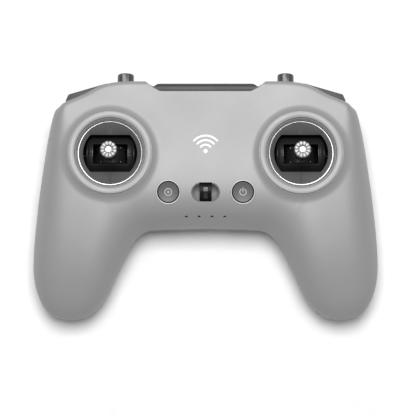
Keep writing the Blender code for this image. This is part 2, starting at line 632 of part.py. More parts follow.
# ---------------------------------------------------------------- lower edge, inside, screws
def make_lower_edge():
    for side, sign in SIDES:
        x = sign * HOLDER_X
        turned(side + "_stick_holder", [
            (0, 17.2), (HOLDER_RADIUS, 17.2), (HOLDER_RADIUS, 0), (HOLDER_BORE, 0),
            (HOLDER_BORE, 16), (0, 16)], (x, HOLDER_MOUTH, HOLDER_Z), RUBBER, "Y")
    outer, inner = pill(9.0, 3.3, 5), pill(8.3, 2.6, 5)
    port = plate("usb_c_port", outer, -7.5, 0, STEEL, (0, -16.2, USB_Z), FACING)
    mouth = plate("usb_mouth", inner, -6.2, 3, None, (0, -16.2, USB_Z), FACING)
    tongue = box("usb_tongue", (-3.2, -15.6, USB_Z - 0.35), (3.2, -9.4, USB_Z + 0.35))
    join(cut(port, mouth), tongue)
    box("usb_board", (-9, -12.8, USB_Z - 3.4), (9, -2, USB_Z - 2.0), BOARD_GREEN)


def lower_edge_openings():
    for side, sign in SIDES:
        x = sign * HOLDER_X
        yield cylinder(side + "_holder_opening", HOLDER_RADIUS + GAP, (x, -30, HOLDER_Z),
                       (x, -8, HOLDER_Z), sides=24)
    yield plate("usb_opening", pill(9.8, 4.1, 5), -4, 20, None, (0, -16.2, USB_Z), FACING)


def tube(name, points, radius, material):
    """A round wire through the points, smoothed, with closed ends."""
    rows = np.array([points[0], *points, points[-1]], float)
    path = []
    for p0, p1, p2, p3 in zip(rows, rows[1:], rows[2:], rows[3:]):
        for t in (0, 0.25, 0.5, 0.75):
            path.append(0.5 * (2 * p1 + (p2 - p0) * t + (2 * p0 - 5 * p1 + 4 * p2 - p3) * t**2
                               + (3 * p1 - p0 - 3 * p2 + p3) * t**3))
    path.append(rows[-1])
    curve = bpy.data.curves.new(name, "CURVE")
    curve.dimensions = "3D"
    curve.bevel_depth = mm(radius)
    curve.bevel_resolution = 1
    curve.use_fill_caps = True
    spline = curve.splines.new("POLY")
    spline.points.add(len(path) - 1)
    for point, place in zip(spline.points, path):
        point.co = (*mm(*place), 1)
    made = bpy.data.objects.new(name, curve)
    made.data.materials.append(material)
    PARTS.objects.link(made)


def make_inside():
    box("main_board", (-28.5, -12.5, BOARD_FOOT), (28.5, 51, BOARD_TOP), BOARD_GREEN)
    shield = box("rf_shield", (-15, 20, BOARD_TOP + GAP), (15, 44, BOARD_TOP + 3.3), STEEL)
    cut(shield, box("rf_shield_room", (-14.6, 20.4, 0), (14.6, 43.6, BOARD_TOP + 2.9)))
    cylinder("buzzer", 4.5, (-21, 14, BOARD_FOOT - 4.3), (-21, 14, BOARD_FOOT - GAP), BLACK)
    tube("antenna_coax", [(6, 52.6, 16), (6, 49, 16), (9, 43, 17), (10, 36, 18.2), (10, 32, 18.9)],
         0.6, BLACK)
    for side, sign in SIDES:
        cylinder(side + "_battery_cell", CELL_RADIUS, (sign * CELL_TOP[0], *CELL_TOP[1:]),
                 (sign * CELL_FOOT[0], *CELL_FOOT[1:]), CELL_BLUE, sides=24)
        route = [(CELL_TOP[0] - 1, CELL_TOP[1] + 0.5, 10), (62, 1.5, 10), (50, 0, 12), (36, -1, 16),
                 (27, -2, 19.2)]
        tube(side + "_battery_lead", [(sign * x, y, z) for x, y, z in route], 0.9, RUBBER)


def make_screw(name, x, y, seat):
    screw = turned(name, [
        (0, seat - 0.1), (SCREW_HEAD, seat - 0.1), (SCREW_HEAD, seat - 1.5), (0, seat - 1.5)],
        (x, y, 0), STEEL, steps=12)
    screw_shank = cylinder(name + "_shank", 1.2, (x, y, seat - 1), (x, y, seat + SCREW_REACH), sides=12)
    drive = cylinder(name + "_drive", 1.3, (x, y, seat - 3), (x, y, seat - 0.9), sides=6)
    cut(join(screw, screw_shank), drive)


def screw_sites():
    for place, (x, y, seat) in SCREWS.items():
        for side, sign in SIDES:
            yield f"{side}_{place}_screw", sign * x, y, seat


def screw_rear_boss(name, x, y, seat):
    boss = cylinder(name + "_rear_boss", 4.3, (x, y, seat - 1.6), (x, y, seat + 3.2), sides=16)
    head = SCREW_HEAD + 0.4
    hole = turned(name + "_counterbore", [
        (0, seat + 8), (1.6, seat + 8), (1.6, seat), (head, seat), (head, -5), (0, -5)],
        (x, y, 0), steps=16)
    return boss, hole


def screw_front_boss(name, x, y, seat, surface):
    ring = arc((x, y), 3.2, 0, 315, 7)
    roof = min(face_height(surface, *point) for point in ring) - 1.0
    boss = cylinder(name + "_front_boss", 3.2, (x, y, seat + 3.5), (x, y, roof), sides=16)
    hole = cylinder(name + "_thread", 1.5, (x, y, seat), (x, y, seat + SCREW_REACH + 0.5), sides=12)
    return boss, hole


# ---------------------------------------------------------------- assembly
def make_shells():
    front, rear = shell("front_shell", True), shell("rear_shell", False)
    surface = surface_of(front)
    eye = Seat(surface, 0, BUTTON_Y, 4)
    leds = Seat(surface, 0, LED_Y, 0.8)
    pocket = antenna_pocket()
    for site in screw_sites():
        boss, thread = screw_front_boss(*site, surface)
        cut(join(front, boss), thread)
        rear_boss, counterbore = screw_rear_boss(*site)
        cut(join(rear, rear_boss), counterbore)
    for side, sign in SIDES:
        x = sign * STICK_X
        cut(front,
            cylinder(side + "_well", WELL_RADIUS + GAP, (x, STICK_Y, 28), (x, STICK_Y, 50), sides=24),
            cylinder(side + "_ledge", BEZEL_RADIUS + 0.8, (x, STICK_Y, BEZEL_TOP - 1.6),
                     (x, STICK_Y, 50), sides=24),
            toggle_opening(side, sign), shoulder_opening(side, sign))
    for name, sign in (("c1", -1), ("power", 1)):
        seat = Seat(surface, sign * BUTTON_X, BUTTON_Y, BUTTON_RADIUS)
        cut(front, cylinder(name + "_opening", RING_OUTER + GAP, seat.up(-8), seat.up(5), sides=24))
        make_button(name, seat)
    opening = pill(PILL_LENGTH + 0.6, PILL_HEIGHT + 0.6)
    cut(front, plate("lanyard_opening", opening, -6, 5, None, eye.point, eye.turn))
    cut(front, pocket, antenna_notch(), *led_holes(leds))
    cut(rear, pocket, dial_opening(-1), *lower_edge_openings())
    make_lanyard_eye(eye)
    make_light_guide(leds)


make_shells()
make_antenna()
make_lower_edge()
make_inside()
make_dial(-1)
for side_name, side_sign in SIDES:
    make_gimbal(side_name, side_sign)
    make_toggle(side_name, side_sign)
    make_shoulder(side_name, side_sign)
for screw_site in screw_sites():
    make_screw(*screw_site)
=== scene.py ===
"""The looks of a handheld radio transmitter controller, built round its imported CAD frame.

Lengths inside the script are millimetres in the frame's own axes: +X right, +Y towards the
antenna, +Z out of the face. mm() and add_piece() turn them into metres.
"""

import json
import math

import bmesh
import bpy
import numpy as np
from mathutils import Matrix, Vector
from mathutils.bvhtree import BVHTree
from mathutils.interpolate import poly_3d_calc


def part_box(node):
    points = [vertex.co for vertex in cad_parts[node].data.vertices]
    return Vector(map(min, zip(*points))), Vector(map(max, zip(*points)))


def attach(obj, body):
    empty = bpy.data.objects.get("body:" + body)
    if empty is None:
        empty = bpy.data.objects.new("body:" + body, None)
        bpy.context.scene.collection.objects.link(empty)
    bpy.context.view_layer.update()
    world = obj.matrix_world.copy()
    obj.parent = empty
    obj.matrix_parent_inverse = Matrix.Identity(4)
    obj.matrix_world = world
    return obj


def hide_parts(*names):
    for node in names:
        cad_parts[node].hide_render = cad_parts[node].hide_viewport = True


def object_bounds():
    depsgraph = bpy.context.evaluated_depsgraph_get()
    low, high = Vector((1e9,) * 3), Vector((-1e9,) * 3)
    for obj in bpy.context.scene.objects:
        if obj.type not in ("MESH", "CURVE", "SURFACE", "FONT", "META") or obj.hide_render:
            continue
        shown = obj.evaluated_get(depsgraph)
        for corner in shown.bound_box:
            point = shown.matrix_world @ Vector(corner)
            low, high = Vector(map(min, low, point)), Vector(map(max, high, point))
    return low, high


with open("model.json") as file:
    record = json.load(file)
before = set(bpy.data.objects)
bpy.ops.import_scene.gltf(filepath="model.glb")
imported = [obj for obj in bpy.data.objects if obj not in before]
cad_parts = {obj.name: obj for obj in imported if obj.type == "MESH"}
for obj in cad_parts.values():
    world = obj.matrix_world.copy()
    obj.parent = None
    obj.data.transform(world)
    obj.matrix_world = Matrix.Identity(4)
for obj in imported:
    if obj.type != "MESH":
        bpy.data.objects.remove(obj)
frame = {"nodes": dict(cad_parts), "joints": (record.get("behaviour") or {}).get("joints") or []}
cad_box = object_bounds()

MM = 0.001
SIDES = (("left", -1), ("right", 1))
JOINTS = {joint["name"]: joint for joint in frame["joints"]}
UP = Vector((0, 0, 1))
SIDEWAYS = Matrix(((0, 0, 1), (1, 0, 0), (0, 1, 0)))  # drawn in Y and Z, thick along X
FACING = Matrix(((1, 0, 0), (0, 0, -1), (0, 1, 0)))  # drawn in X and Z, thick along -Y
ON_TOP_EDGE = Matrix(((-1, 0, 0), (0, 0, 1), (0, 1, 0)))  # drawn in -X and Z, thick along +Y

# ---- the body's driving dimensions
SEAM_GAP = 0.3
SKIRT = 1.2
LIP = 0.25  # how far each shell's edge rolls in at the seam
SHOWN_WALL = 1.6
WELD = 0.0003  # a Boolean leaves some corners this near to each other
SKIN_WELD = 0.002
SHARP_ANGLE = math.radians(35)
MOUND_RADIUS, MOUND_TOP, MOUND_SLOPE, MOUND_BLEND = 22.0, 37.5, 1.3, 5.0
FRONT_STEPS, REAR_STEPS = (200, 130), (140, 80)  # along the ribs, across them

# The right half of the body as ribs from the middle round to the tip of the grip:
# inner end (x, y), outer end (x, y), then the heights of the seam, crown and keel,
# which stay the same as far as the shoulders.
FLAT = (17.0, 35.5, -0.8)
RIBS = np.array([
    (0.0, -17.2, 0.0, 62.9, *FLAT),
    (14.0, -17.6, 18.0, 62.9, *FLAT),
    (24.5, -17.9, 34.0, 62.9, *FLAT),
    (31.0, -18.4, 46.6, 62.7, *FLAT),
    (35.0, -20.1, 56.7, 60.8, *FLAT),
    (37.7, -22.5, 66.7, 55.8, *FLAT),
    (39.3, -24.4, 77.0, 51.5, *FLAT),
    (40.3, -26.0, 80.4, 49.2, *FLAT),
    (41.1, -27.6, 83.6, 46.3, 17.0, 35.4, -0.8),
    (42.3, -29.4, 86.4, 36.0, 16.8, 35.2, -0.6),
    (43.9, -32.6, 89.1, 20.0, 16.5, 34.7, -0.4),
    (46.0, -36.9, 91.5, 3.5, 16.0, 33.8, -0.4),
    (48.6, -42.4, 93.4, -13.5, 15.5, 32.4, -0.4),
    (51.4, -48.6, 94.7, -30.0, 15.0, 30.2, 0.2),
    (54.6, -55.0, 94.6, -44.0, 14.5, 27.2, 1.6),
    (59.6, -61.4, 91.5, -56.0, 14.2, 23.6, 4.2),
    (65.85, -65.9, 85.5, -64.45, 14.0, 19.4, 8.2),
    (74.5, -67.8, 74.5, -67.8, 14.0, 15.4, 12.6),
])
# How square the section is: rib number, then power and root at the inner and outer ends.
FRONT_SHAPE = np.array([
    (0, 5.0, 1.4, 50.0, 4.0),
    (6, 4.4, 1.5, 50.0, 4.0),
    (7, 4.2, 1.5, 24.0, 3.2),
    (8, 4.0, 1.5, 11.0, 2.4),
    (9, 3.8, 1.5, 8.0, 1.8),
    (10, 3.5, 1.6, 5.6, 1.6),
    (12, 3.1, 1.7, 3.8, 1.6),
    (14, 2.7, 2.0, 2.6, 2.0),
    (17, 2.3, 2.0, 2.3, 2.0),
])
REAR_SHAPE = np.array([
    (0, 16.0, 2.0, 16.0, 2.0),
    (4, 14.0, 2.0, 16.0, 2.0),
    (8, 6.0, 2.0, 10.0, 2.0),
    (10, 4.0, 2.0, 5.0, 2.0),
    (13, 3.0, 2.0, 3.0, 2.0),
    (17, 2.3, 2.0, 2.3, 2.0),
])

# ---- places read from the frame


def mm(*values):
    return values[0] * MM if len(values) == 1 else Vector(values) * MM


def node_box(name):
    """Lowest and highest corner of a CAD node, in mm."""
    low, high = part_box(name)
    return low / MM, high / MM


def middle(name, axis):
    """Where a CAD node's middle lies along an axis, 0 to 2."""
    low, high = node_box(name)
    return (low[axis] + high[axis]) / 2


def half_width(name):
    low, high = node_box(name)
    return (high.x - low.x) / 2


def pivot_of(joint):
    return Vector(JOINTS[joint]["pos_m"]) / MM


HALF_WIDTH = cad_box[1][0] / MM
STICK_X, STICK_Y, PIVOT_Z = pivot_of("right_stick_pitch")
BEZEL_TOP = node_box("right_stick_bezel")[1].z
BEZEL_RADIUS = half_width("right_stick_bezel")
COVER_BOTTOM, COVER_TOP = (corner.z for corner in node_box("right_gimbal_cover"))
STICK_TOP = node_box("right_stick")[1].z
TOGGLE = pivot_of("right_toggle_tilt")
TOGGLE_END = node_box("right_toggle")[1].y
TOGGLE_FLAT = node_box("right_toggle")[1].z - TOGGLE.z
HINGE = pivot_of("antenna_fold")
DIAL = pivot_of("tilt_dial_turn")
BUTTON_NORMAL = -Vector(JOINTS["power_button_press"]["axis"]).normalized()
BUTTON_TILT = Matrix.Rotation(math.atan2(-BUTTON_NORMAL.y, BUTTON_NORMAL.z), 3, "X")
RING_LOW, RING_HIGH = node_box("power_button_ring")
RING_RADIUS = half_width("power_button_ring")
RING_PROUD, RING_DEPTH = 0.55, 3.2
BUTTON_X = middle("power_button_ring", 0)
BUTTON_SEAT = (RING_LOW + RING_HIGH) / 2 + BUTTON_NORMAL * (RING_DEPTH - RING_PROUD) / 2
BUTTON_RADIUS = half_width("power_button")
EYE_SIZE = (15.2, 10.0)
EYE_Y, EYE_REACH = BUTTON_SEAT.y, 4
SHOULDER_START, SHOULDER_END = Vector((53.0, 60.7)), Vector((76.3, 50.9))
SHOULDER_WAY = (SHOULDER_END - SHOULDER_START).normalized()
SHOULDER_OUT = Vector((-SHOULDER_WAY.y, SHOULDER_WAY.x))
SHOULDER_LOW, SHOULDER_HIGH = (corner.z for corner in node_box("right_shoulder_button"))
HOLDER_X, HOLDER_Z = middle("right_stick_holder", 0), middle("right_stick_holder", 2)
HOLDER_Y = -15.4
USB_Y, USB_Z = -16.2, middle("usb_c_port", 2)
ANTENNA_LOW, ANTENNA_HIGH = node_box("antenna")


def on_shoulder(along, outward, sign=1):
    """A point (x, y) measured along the shoulder's edge and out from it."""
    point = SHOULDER_START + along * SHOULDER_WAY + outward * SHOULDER_OUT
    return (sign * point.x, point.y)


# ---- camera, light, floor
CAMERA_DISTANCE, CAMERA_TILT, CAMERA_LENS = 0.968, 6.0, 151.6
CAMERA_AIM = (1.3, -5.8, 17.0)
WORLD_STRENGTH = 0.3
SOFTBOX_SIZE, SOFTBOX_POWER, SOFTBOX_PLACE = 0.8, 23.0, Vector((0.0, 0.36, 1.49))
FLOOR_HALF, FLOOR_DROP = 3.0, 0.0002


def new_object(name, data):
    made = bpy.data.objects.new(name, data)
    bpy.context.scene.collection.objects.link(made)
    return made


def make_camera():
    """Nearly straight above, a little towards the grips, as for a catalogue picture."""
    data = bpy.data.cameras.new("camera")
    data.sensor_width = 36
    data.lens = CAMERA_LENS
    data.clip_start = 0.01
    camera = new_object("camera", data)
    tilt = math.radians(CAMERA_TILT)
    aim = mm(*CAMERA_AIM)
    camera.location = aim + CAMERA_DISTANCE * Vector((0, -math.sin(tilt), math.cos(tilt)))
    camera.rotation_euler = (tilt, 0, 0)
    bpy.context.scene.camera = camera


def make_softbox():
    """A square light overhead, a little towards the antenna, facing the origin."""
    data = bpy.data.lights.new("softbox", "AREA")
    data.shape = "RECTANGLE"
    data.size = data.size_y = SOFTBOX_SIZE
    data.energy = SOFTBOX_POWER
    light = new_object("softbox", data)
    light.location = SOFTBOX_PLACE
    light.rotation_euler = (-SOFTBOX_PLACE).to_track_quat("-Z", "Y").to_euler()


def make_studio():
    scene = bpy.context.scene
    world = bpy.data.worlds.new("studio")
    world.use_nodes = True
    background = world.node_tree.nodes["Background"]
    background.inputs["Color"].default_value = (1, 1, 1, 1)
    background.inputs["Strength"].default_value = WORLD_STRENGTH
    scene.world = world
    scene.view_settings.view_transform = "Standard"
    make_softbox()
    mesh = bpy.data.meshes.new("floor")
    corners = rectangle((-FLOOR_HALF, -FLOOR_HALF), (FLOOR_HALF, FLOOR_HALF))
    mesh.from_pydata([(x, y, 0) for x, y in corners], [], [(0, 1, 2, 3)])
    floor = new_object("floor", mesh)
    floor.location.z = -FLOOR_DROP
    mesh.materials.append(surface("floor_white", 0.9, 0.9))


# ---- materials
class Nodes:
    """A material's node tree, with short calls for the nodes that these materials share."""

    def __init__(self, name):
        self.material = bpy.data.materials.new(name)
        self.material.use_nodes = True
        self.tree = self.material.node_tree
        self.shader = self.tree.nodes["Principled BSDF"]
        self.place = self.tree.nodes.new("ShaderNodeTexCoord").outputs["Object"]

    def add(self, kind, values=(), **settings):
        node = self.tree.nodes.new("ShaderNode" + kind)
        for key, value in settings.items():
            setattr(node, key, value)
        for socket, value in dict(values).items():
            if isinstance(value, bpy.types.NodeSocket):
                self.tree.links.new(value, node.inputs[socket])
            else:
                node.inputs[socket].default_value = value
        return node

    def noise(self, size_mm, detail):
        """Noise of about that feature size, from 0 to 1."""
        node = self.add("TexNoise", {"Vector": self.place, "Scale": 1 / mm(size_mm), "Detail": detail})
        return node.outputs["Fac"]

    def spread(self, noise, low, high):
        """Noise's usual range stretched over low to high."""
        return self.add("MapRange", {"Value": noise, "From Min": 0.3, "From Max": 0.7,
                                     "To Min": low, "To Max": high}).outputs[0]

    def tint(self, colour, factor):
        """The colour, or grey level, scaled by a varying factor."""
        colour = (colour,) * 3 if isinstance(colour, float) else colour
        return self.add("VectorMath", {0: colour, "Scale": factor}, operation="SCALE").outputs[0]

    def bump(self, height, depth_mm):
        values = {"Height": height, "Distance": mm(depth_mm), "Strength": 1.0}
        return self.add("Bump", values).outputs["Normal"]

    def set(self, **inputs):
        for name, value in inputs.items():
            socket = self.shader.inputs[name.replace("_", " ")]
            if isinstance(value, bpy.types.NodeSocket):
                self.tree.links.new(value, socket)
            else:
                socket.default_value = value
        return self.material


def surface(name, colour, roughness, metallic=0.0, grain=0.25, depth=0.01, tone=0.03,
            specular=0.5):
    """A moulded or machined surface: fine grain, with a slight drift of tone and gloss."""
    nodes = Nodes(name)
    fine = nodes.noise(grain, 3.0)
    broad = nodes.noise(18.0, 4.0)
    factor = nodes.spread(broad, 1 - tone, 1 + tone)
    gloss = nodes.spread(broad, roughness + 0.03, roughness - 0.03)
    return nodes.set(**{
        "Base_Color": nodes.tint(colour, factor), "Roughness": gloss, "Metallic": metallic,
        "Specular_IOR_Level": specular, "Normal": nodes.bump(fine, depth)})


def shell_plastic(name, colour):
    """Satin plastic: fine spark-eroded grain, paler flecks, and a slow drift of tone and gloss."""
    nodes = Nodes(name)
    grain = nodes.noise(0.28, 2.0)
    fleck = nodes.spread(nodes.noise(0.6, 1.0), 0.975, 1.025)
    broad = nodes.noise(30.0, 3.0)
    tone = nodes.add("Math", {0: fleck, 1: nodes.spread(broad, 0.985, 1.015)}, operation="MULTIPLY")
    roughness = nodes.spread(broad, 0.42, 0.48)
    return nodes.set(**{
        "Base_Color": nodes.tint(colour, tone.outputs[0]), "Roughness": roughness,
        "Specular_IOR_Level": 0.8, "Normal": nodes.bump(grain, 0.012)})


def speckled_plastic(name, colour):
    """Coarse-grained plastic with lighter and darker specks."""
    nodes = Nodes(name)
    speck = nodes.noise(0.5, 3.0)
    return nodes.set(**{
        "Base_Color": nodes.tint(colour, nodes.spread(speck, 0.82, 1.18)), "Roughness": 0.5,
        "Normal": nodes.bump(speck, 0.05)})


def brushed(name, colour, roughness, centre, metallic=1.0):
    """Metal turned on a lathe: fine rings round the axis through the centre."""
    nodes = Nodes(name)
    flat = nodes.add("Mapping", {"Vector": nodes.place, "Scale": (1, 1, 0),
                                 "Location": -mm(centre[0], centre[1], 0)}).outputs[0]
    radius = nodes.add("VectorMath", {0: flat}, operation="LENGTH").outputs["Value"]
    rings = nodes.add("TexNoise", {"W": radius, "Scale": 6000.0, "Detail": 2.0},
                      noise_dimensions="1D").outputs["Fac"]
    return nodes.set(**{
        "Base_Color": nodes.tint(colour, nodes.spread(rings, 0.94, 1.04)),
        "Roughness": nodes.spread(rings, roughness - 0.04, roughness + 0.06),
        "Metallic": metallic, "Normal": nodes.bump(rings, 0.01)})


SHELL = shell_plastic("shell_plastic", 0.268)
BEZEL = surface("bezel_plastic", 0.275, 0.38, grain=0.2, depth=0.004, tone=0.01, specular=0.6)
DARK = surface("dark_plastic", (0.06, 0.06, 0.062), 0.42, depth=0.012, tone=0.05, specular=0.35)
COVER = surface("cover_plastic", (0.038, 0.038, 0.039), 0.5, grain=0.2, depth=0.012, specular=0.3)
BLACK = surface("black_plastic", (0.014, 0.014, 0.015), 0.38, grain=0.3, specular=0.2)
BARREL = surface("barrel_plastic", 0.016, 0.3, grain=0.2, depth=0.006, specular=0.3)
GLOSS_BLACK = surface("gloss_black", (0.008, 0.008, 0.009), 0.12, grain=0.8, depth=0.001)
BRIDGE = surface("bridge_black", (0.007, 0.007, 0.008), 0.34, grain=0.4, depth=0.003, specular=0.1)
# A flat grey that stands for the highlight on the lanyard bar's channel: painted highlight.
HIGHLIGHT_PAD = surface("pad_painted_highlight", 0.16, 0.4, grain=0.3, depth=0.004)
BUTTON = surface("button_plastic", (0.1, 0.1, 0.102), 0.42, grain=0.3, depth=0.06, tone=0.04)
RUBBER = surface("rubber", 0.03, 0.75, grain=0.3, depth=0.03)
STEEL = surface("steel", (0.55, 0.55, 0.56), 0.3, 1.0, grain=0.3, depth=0.004, tone=0.06)
BRIGHT = surface("bright_metal", (0.86, 0.86, 0.87), 0.22, 1.0, grain=0.2, depth=0.003)
BOARD = surface("board_green", (0.02, 0.09, 0.05), 0.4, grain=0.5, depth=0.02)
SLEEVE = surface("cell_sleeve", (0.03, 0.12, 0.32), 0.4, grain=0.5)
GUIDE = surface("light_guide", 0.75, 0.25, grain=0.5, depth=0.005)
INK = surface("mark_ink", 0.88, 0.5, grain=0.2, depth=0.003, tone=0.01)
GLYPH = surface("glyph_ink", 0.42, 0.45, grain=0.2, depth=0.003, tone=0.02)
EYE_PLASTIC = speckled_plastic("eye_plastic", (0.36, 0.345, 0.35))
TOGGLE_PLASTIC = surface("toggle_plastic", (0.06, 0.06, 0.061), 0.3, grain=0.22)
SHOULDER_PLASTIC = surface("shoulder_plastic", (0.036, 0.036, 0.037), 0.4, grain=0.22, depth=0.015,
                           specular=0.3)
ANTENNA_PLASTIC = surface("antenna_plastic", (0.055, 0.055, 0.057), 0.42, specular=0.25)


# ---- shape tools, all in mm
def arc(centre, radius, start, end, steps=16):
    """Points along an arc, angles in degrees."""
    angles = np.radians(np.linspace(start, end, steps + 1))
    return [(centre[0] + radius * math.cos(a), centre[1] + radius * math.sin(a)) for a in angles]


def circle(radius, steps=64, centre=(0, 0)):
    return arc(centre, radius, 0, 360 - 360 / steps, steps - 1)


def pill(length, height, steps=20):
    """A round-ended slot outline centred on the origin."""
    radius = height / 2
    offset = length / 2 - radius
    return arc((offset, 0), radius, -90, 90, steps) + arc((-offset, 0), radius, 90, 270, steps)


def rectangle(low, high):
    return [(low[0], low[1]), (high[0], low[1]), (high[0], high[1]), (low[0], high[1])]


def rounded(points, radius, closed=True, steps=5):
    """The points with their corners made arcs. radius is a number, or a list with one each."""
    radii = radius if hasattr(radius, "__len__") else [radius] * len(points)
    line = [Vector(point) for point in points]
    result = []
    for index, (corner, size) in enumerate(zip(line, radii)):
        at_end = index in (0, len(line) - 1) and not closed
        back, ahead = line[index - 1] - corner, line[(index + 1) % len(line)] - corner
        if at_end or size <= 0 or back.angle(ahead) > math.radians(179):
            result.append(tuple(corner))
            continue
        half = back.angle(ahead) / 2
        reach = min(size / math.tan(half), 0.49 * back.length, 0.49 * ahead.length)
        start, end = corner + reach * back.normalized(), corner + reach * ahead.normalized()
        middle = corner + (back.normalized() + ahead.normalized()).normalized() * reach / math.cos(half)
        sweep = math.pi - 2 * half
        for t in np.linspace(0, 1, steps + 1):
            first, second = math.sin((1 - t) * sweep), math.sin(t * sweep)
            point = middle + ((start - middle) * first + (end - middle) * second) / math.sin(sweep)
            result.append(tuple(point))
    return result


def grow(outline, distance):
    """The anticlockwise outline moved outwards by a distance, or inwards by a negative one."""
    points = np.array(outline, float)
    ways = np.roll(points, -1, axis=0) - points
    ways /= np.maximum(np.linalg.norm(ways, axis=1), 1e-9)[:, None]
    normals = np.column_stack([ways[:, 1], -ways[:, 0]])
    before = np.roll(normals, 1, axis=0)
    share = np.maximum(1 + (normals * before).sum(axis=1), 0.3)[:, None]
    return points + distance * (normals + before) / share


def loft(levels):
    """A closed solid through equal loops of (x, y, z) points, capped at both ends."""
    bm = bmesh.new()
    rows = [[bm.verts.new(point) for point in level] for level in levels]
    for row, following in zip(rows, rows[1:]):
        around = zip(row, row[1:] + row[:1], following[1:] + following[:1], following)
        for a, b, c, d in around:
            bm.faces.new((a, b, c, d))
    bm.faces.new(rows[0][::-1])
    bm.faces.new(rows[-1])
    bmesh.ops.recalc_face_normals(bm, faces=bm.faces)
    return bm


def stack(outline, levels):
    """A solid over one outline, at levels of (height, how far the outline is grown there)."""
    return loft([[(x, y, z) for x, y in grow(outline, spread)] for z, spread in levels])


def prism(outline, low, high, edge=0.0):
    """An outline with thickness and rounded edges."""
    if not edge:
        return stack(outline, [(low, 0), (high, 0)])
    turns = np.linspace(0, math.pi / 2, 5)
    inward = [edge * (1 - math.sin(turn)) for turn in turns]
    rise = [edge * (1 - math.cos(turn)) for turn in turns]
    levels = [(low + z, -inset) for z, inset in zip(rise, inward)]
    levels += [(high - z, -inset) for z, inset in zip(rise[::-1], inward[::-1])]
    return stack(outline, levels)


def block(low, high, edge=0.0):
    """A box between two corners, its upright edges and its rims rounded alike."""
    outline = rectangle(low[:2], high[:2])
    return prism(rounded(outline, edge * 1.5) if edge else outline, low[2], high[2], edge)


def revolve(profile, steps=96, warp=None):
    """A (radius, height) profile turned about Z. warp(angle, radius, height) may move points."""
    bm = bmesh.new()
    rows = []
    for radius, height in profile:
        row = []
        for angle in np.linspace(0, 2 * math.pi, steps, endpoint=False) if radius > 0 else [0.0]:
            r, z = warp(angle, radius, height) if warp else (radius, height)
            row.append(bm.verts.new((r * math.cos(angle), r * math.sin(angle), z)))
        rows.append(row)
    ring = profile[0][0] > 0 and profile[-1][0] > 0
    for row, following in zip(rows, rows[1:] + (rows[:1] if ring else [])):
        for k in range(steps if len(row) + len(following) > 2 else 0):
            corners = [row[k % len(row)], row[(k + 1) % len(row)],
                       following[(k + 1) % len(following)], following[k % len(following)]]
            bm.faces.new(list(dict.fromkeys(corners)))
    bmesh.ops.recalc_face_normals(bm, faces=bm.faces)
    return bm


def rod(radius, low, high, steps=32, edge=0.0):
    """A round bar along Z, its rims rounded."""
    profile = [(0, low), (radius, low), (radius, high), (0, high)]
    return revolve(rounded(profile, edge, closed=False) if edge else profile, steps)


def turn_to(axis):
    """The rotation that carries +Z to an axis."""
    return UP.rotation_difference(axis).to_matrix()


TO_X, TO_Y = turn_to(Vector((1, 0, 0))), turn_to(Vector((0, 1, 0)))


def placed(bm, location=(0, 0, 0), turn=None):
    """Turns a shape about its origin and moves it to a place."""
    matrix = Matrix.Translation(location) @ (turn or Matrix.Identity(3)).to_4x4()
    bmesh.ops.transform(bm, matrix=matrix, verts=bm.verts)
    return bm


def together(*shapes):
    """Several separate shapes as one."""
    first = shapes[0]
    for other in shapes[1:]:
        scratch = bpy.data.meshes.new("scratch")
        other.to_mesh(scratch)
        other.free()
        first.from_mesh(scratch)
        bpy.data.meshes.remove(scratch)
    return first


def scratch_object(bm):
    mesh = bpy.data.meshes.new("scratch")
    bm.to_mesh(mesh)
    bm.free()
    return new_object("scratch", mesh)


def evaluated(target, *helpers):
    """The target's shape with its modifiers applied. The scratch objects are removed."""
    result = bmesh.new()
    result.from_object(target, bpy.context.evaluated_depsgraph_get())
    for used in (target, *helpers):
        mesh = used.data
        bpy.data.objects.remove(used)
        bpy.data.meshes.remove(mesh)
    return result


def combine(operation, first, *others):
    """The shapes joined, cut or intersected, in order."""
    target = scratch_object(first)
    helpers = [scratch_object(other) for other in others]
    for helper in helpers:
        modifier = target.modifiers.new("Combine", "BOOLEAN")
        modifier.operation = operation
        modifier.object = helper
    result = evaluated(target, *helpers)
    bmesh.ops.remove_doubles(result, verts=result.verts, dist=WELD)
    bmesh.ops.holes_fill(result, edges=[edge for edge in result.edges if edge.is_boundary])
    return result


def cut(shape, cutter):
    return combine("DIFFERENCE", shape, cutter)


def cut_in_turn(shape, cutters):
    for cutter in cutters:
        shape = cut(shape, cutter)
    return shape


def join(first, *others):
    return combine("UNION", first, *others)


def add_piece(bm, name, material, replaces=None, body="housing"):
    """Turns a shape into a piece of the object, riding on its body in place of a CAD node."""
    bmesh.ops.scale(bm, vec=(MM, MM, MM), verts=bm.verts)
    mesh = bpy.data.meshes.new(name)
    bm.to_mesh(mesh)
    bm.free()
    mesh.materials.append(material)
    mesh.shade_smooth()
    mesh.set_sharp_from_angle(angle=SHARP_ANGLE)
    piece = new_object(name, mesh)
    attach(piece, body)
    if replaces:
        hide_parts(replaces)
    return piece


def mirrored(outline, sign):
    """An outline drawn for the right side, or its mirror image for the left, wound the same way."""
    return outline if sign > 0 else [(-x, y) for x, y in reversed(outline)]


def shoulder_outline(points, sign, radius=0.0):
    """An outline drawn along the shoulder, as (x, y)."""
    drawn = [on_shoulder(*point) for point in (rounded(points, radius) if radius else points)]
    return mirrored(drawn, sign)


# ---- the body's surface
def along_ribs(at):
    """The rib table at fractional rib numbers, smooth through every rib (Catmull-Rom)."""
    before = RIBS[1] * (-1, 1, -1, 1, 1, 1, 1)
    after = 2 * RIBS[-1] - RIBS[-2]
    rows = np.vstack([before, RIBS, after])
    index = np.minimum(np.floor(at).astype(int), len(RIBS) - 2)
    t = (np.asarray(at) - index)[:, None]
    p0, p1, p2, p3 = (rows[index + k] for k in range(4))
    return 0.5 * (2 * p1 + (p2 - p0) * t + (2 * p0 - 5 * p1 + 4 * p2 - p3) * t**2
                  + (3 * p1 - p0 - 3 * p2 + p3) * t**3)


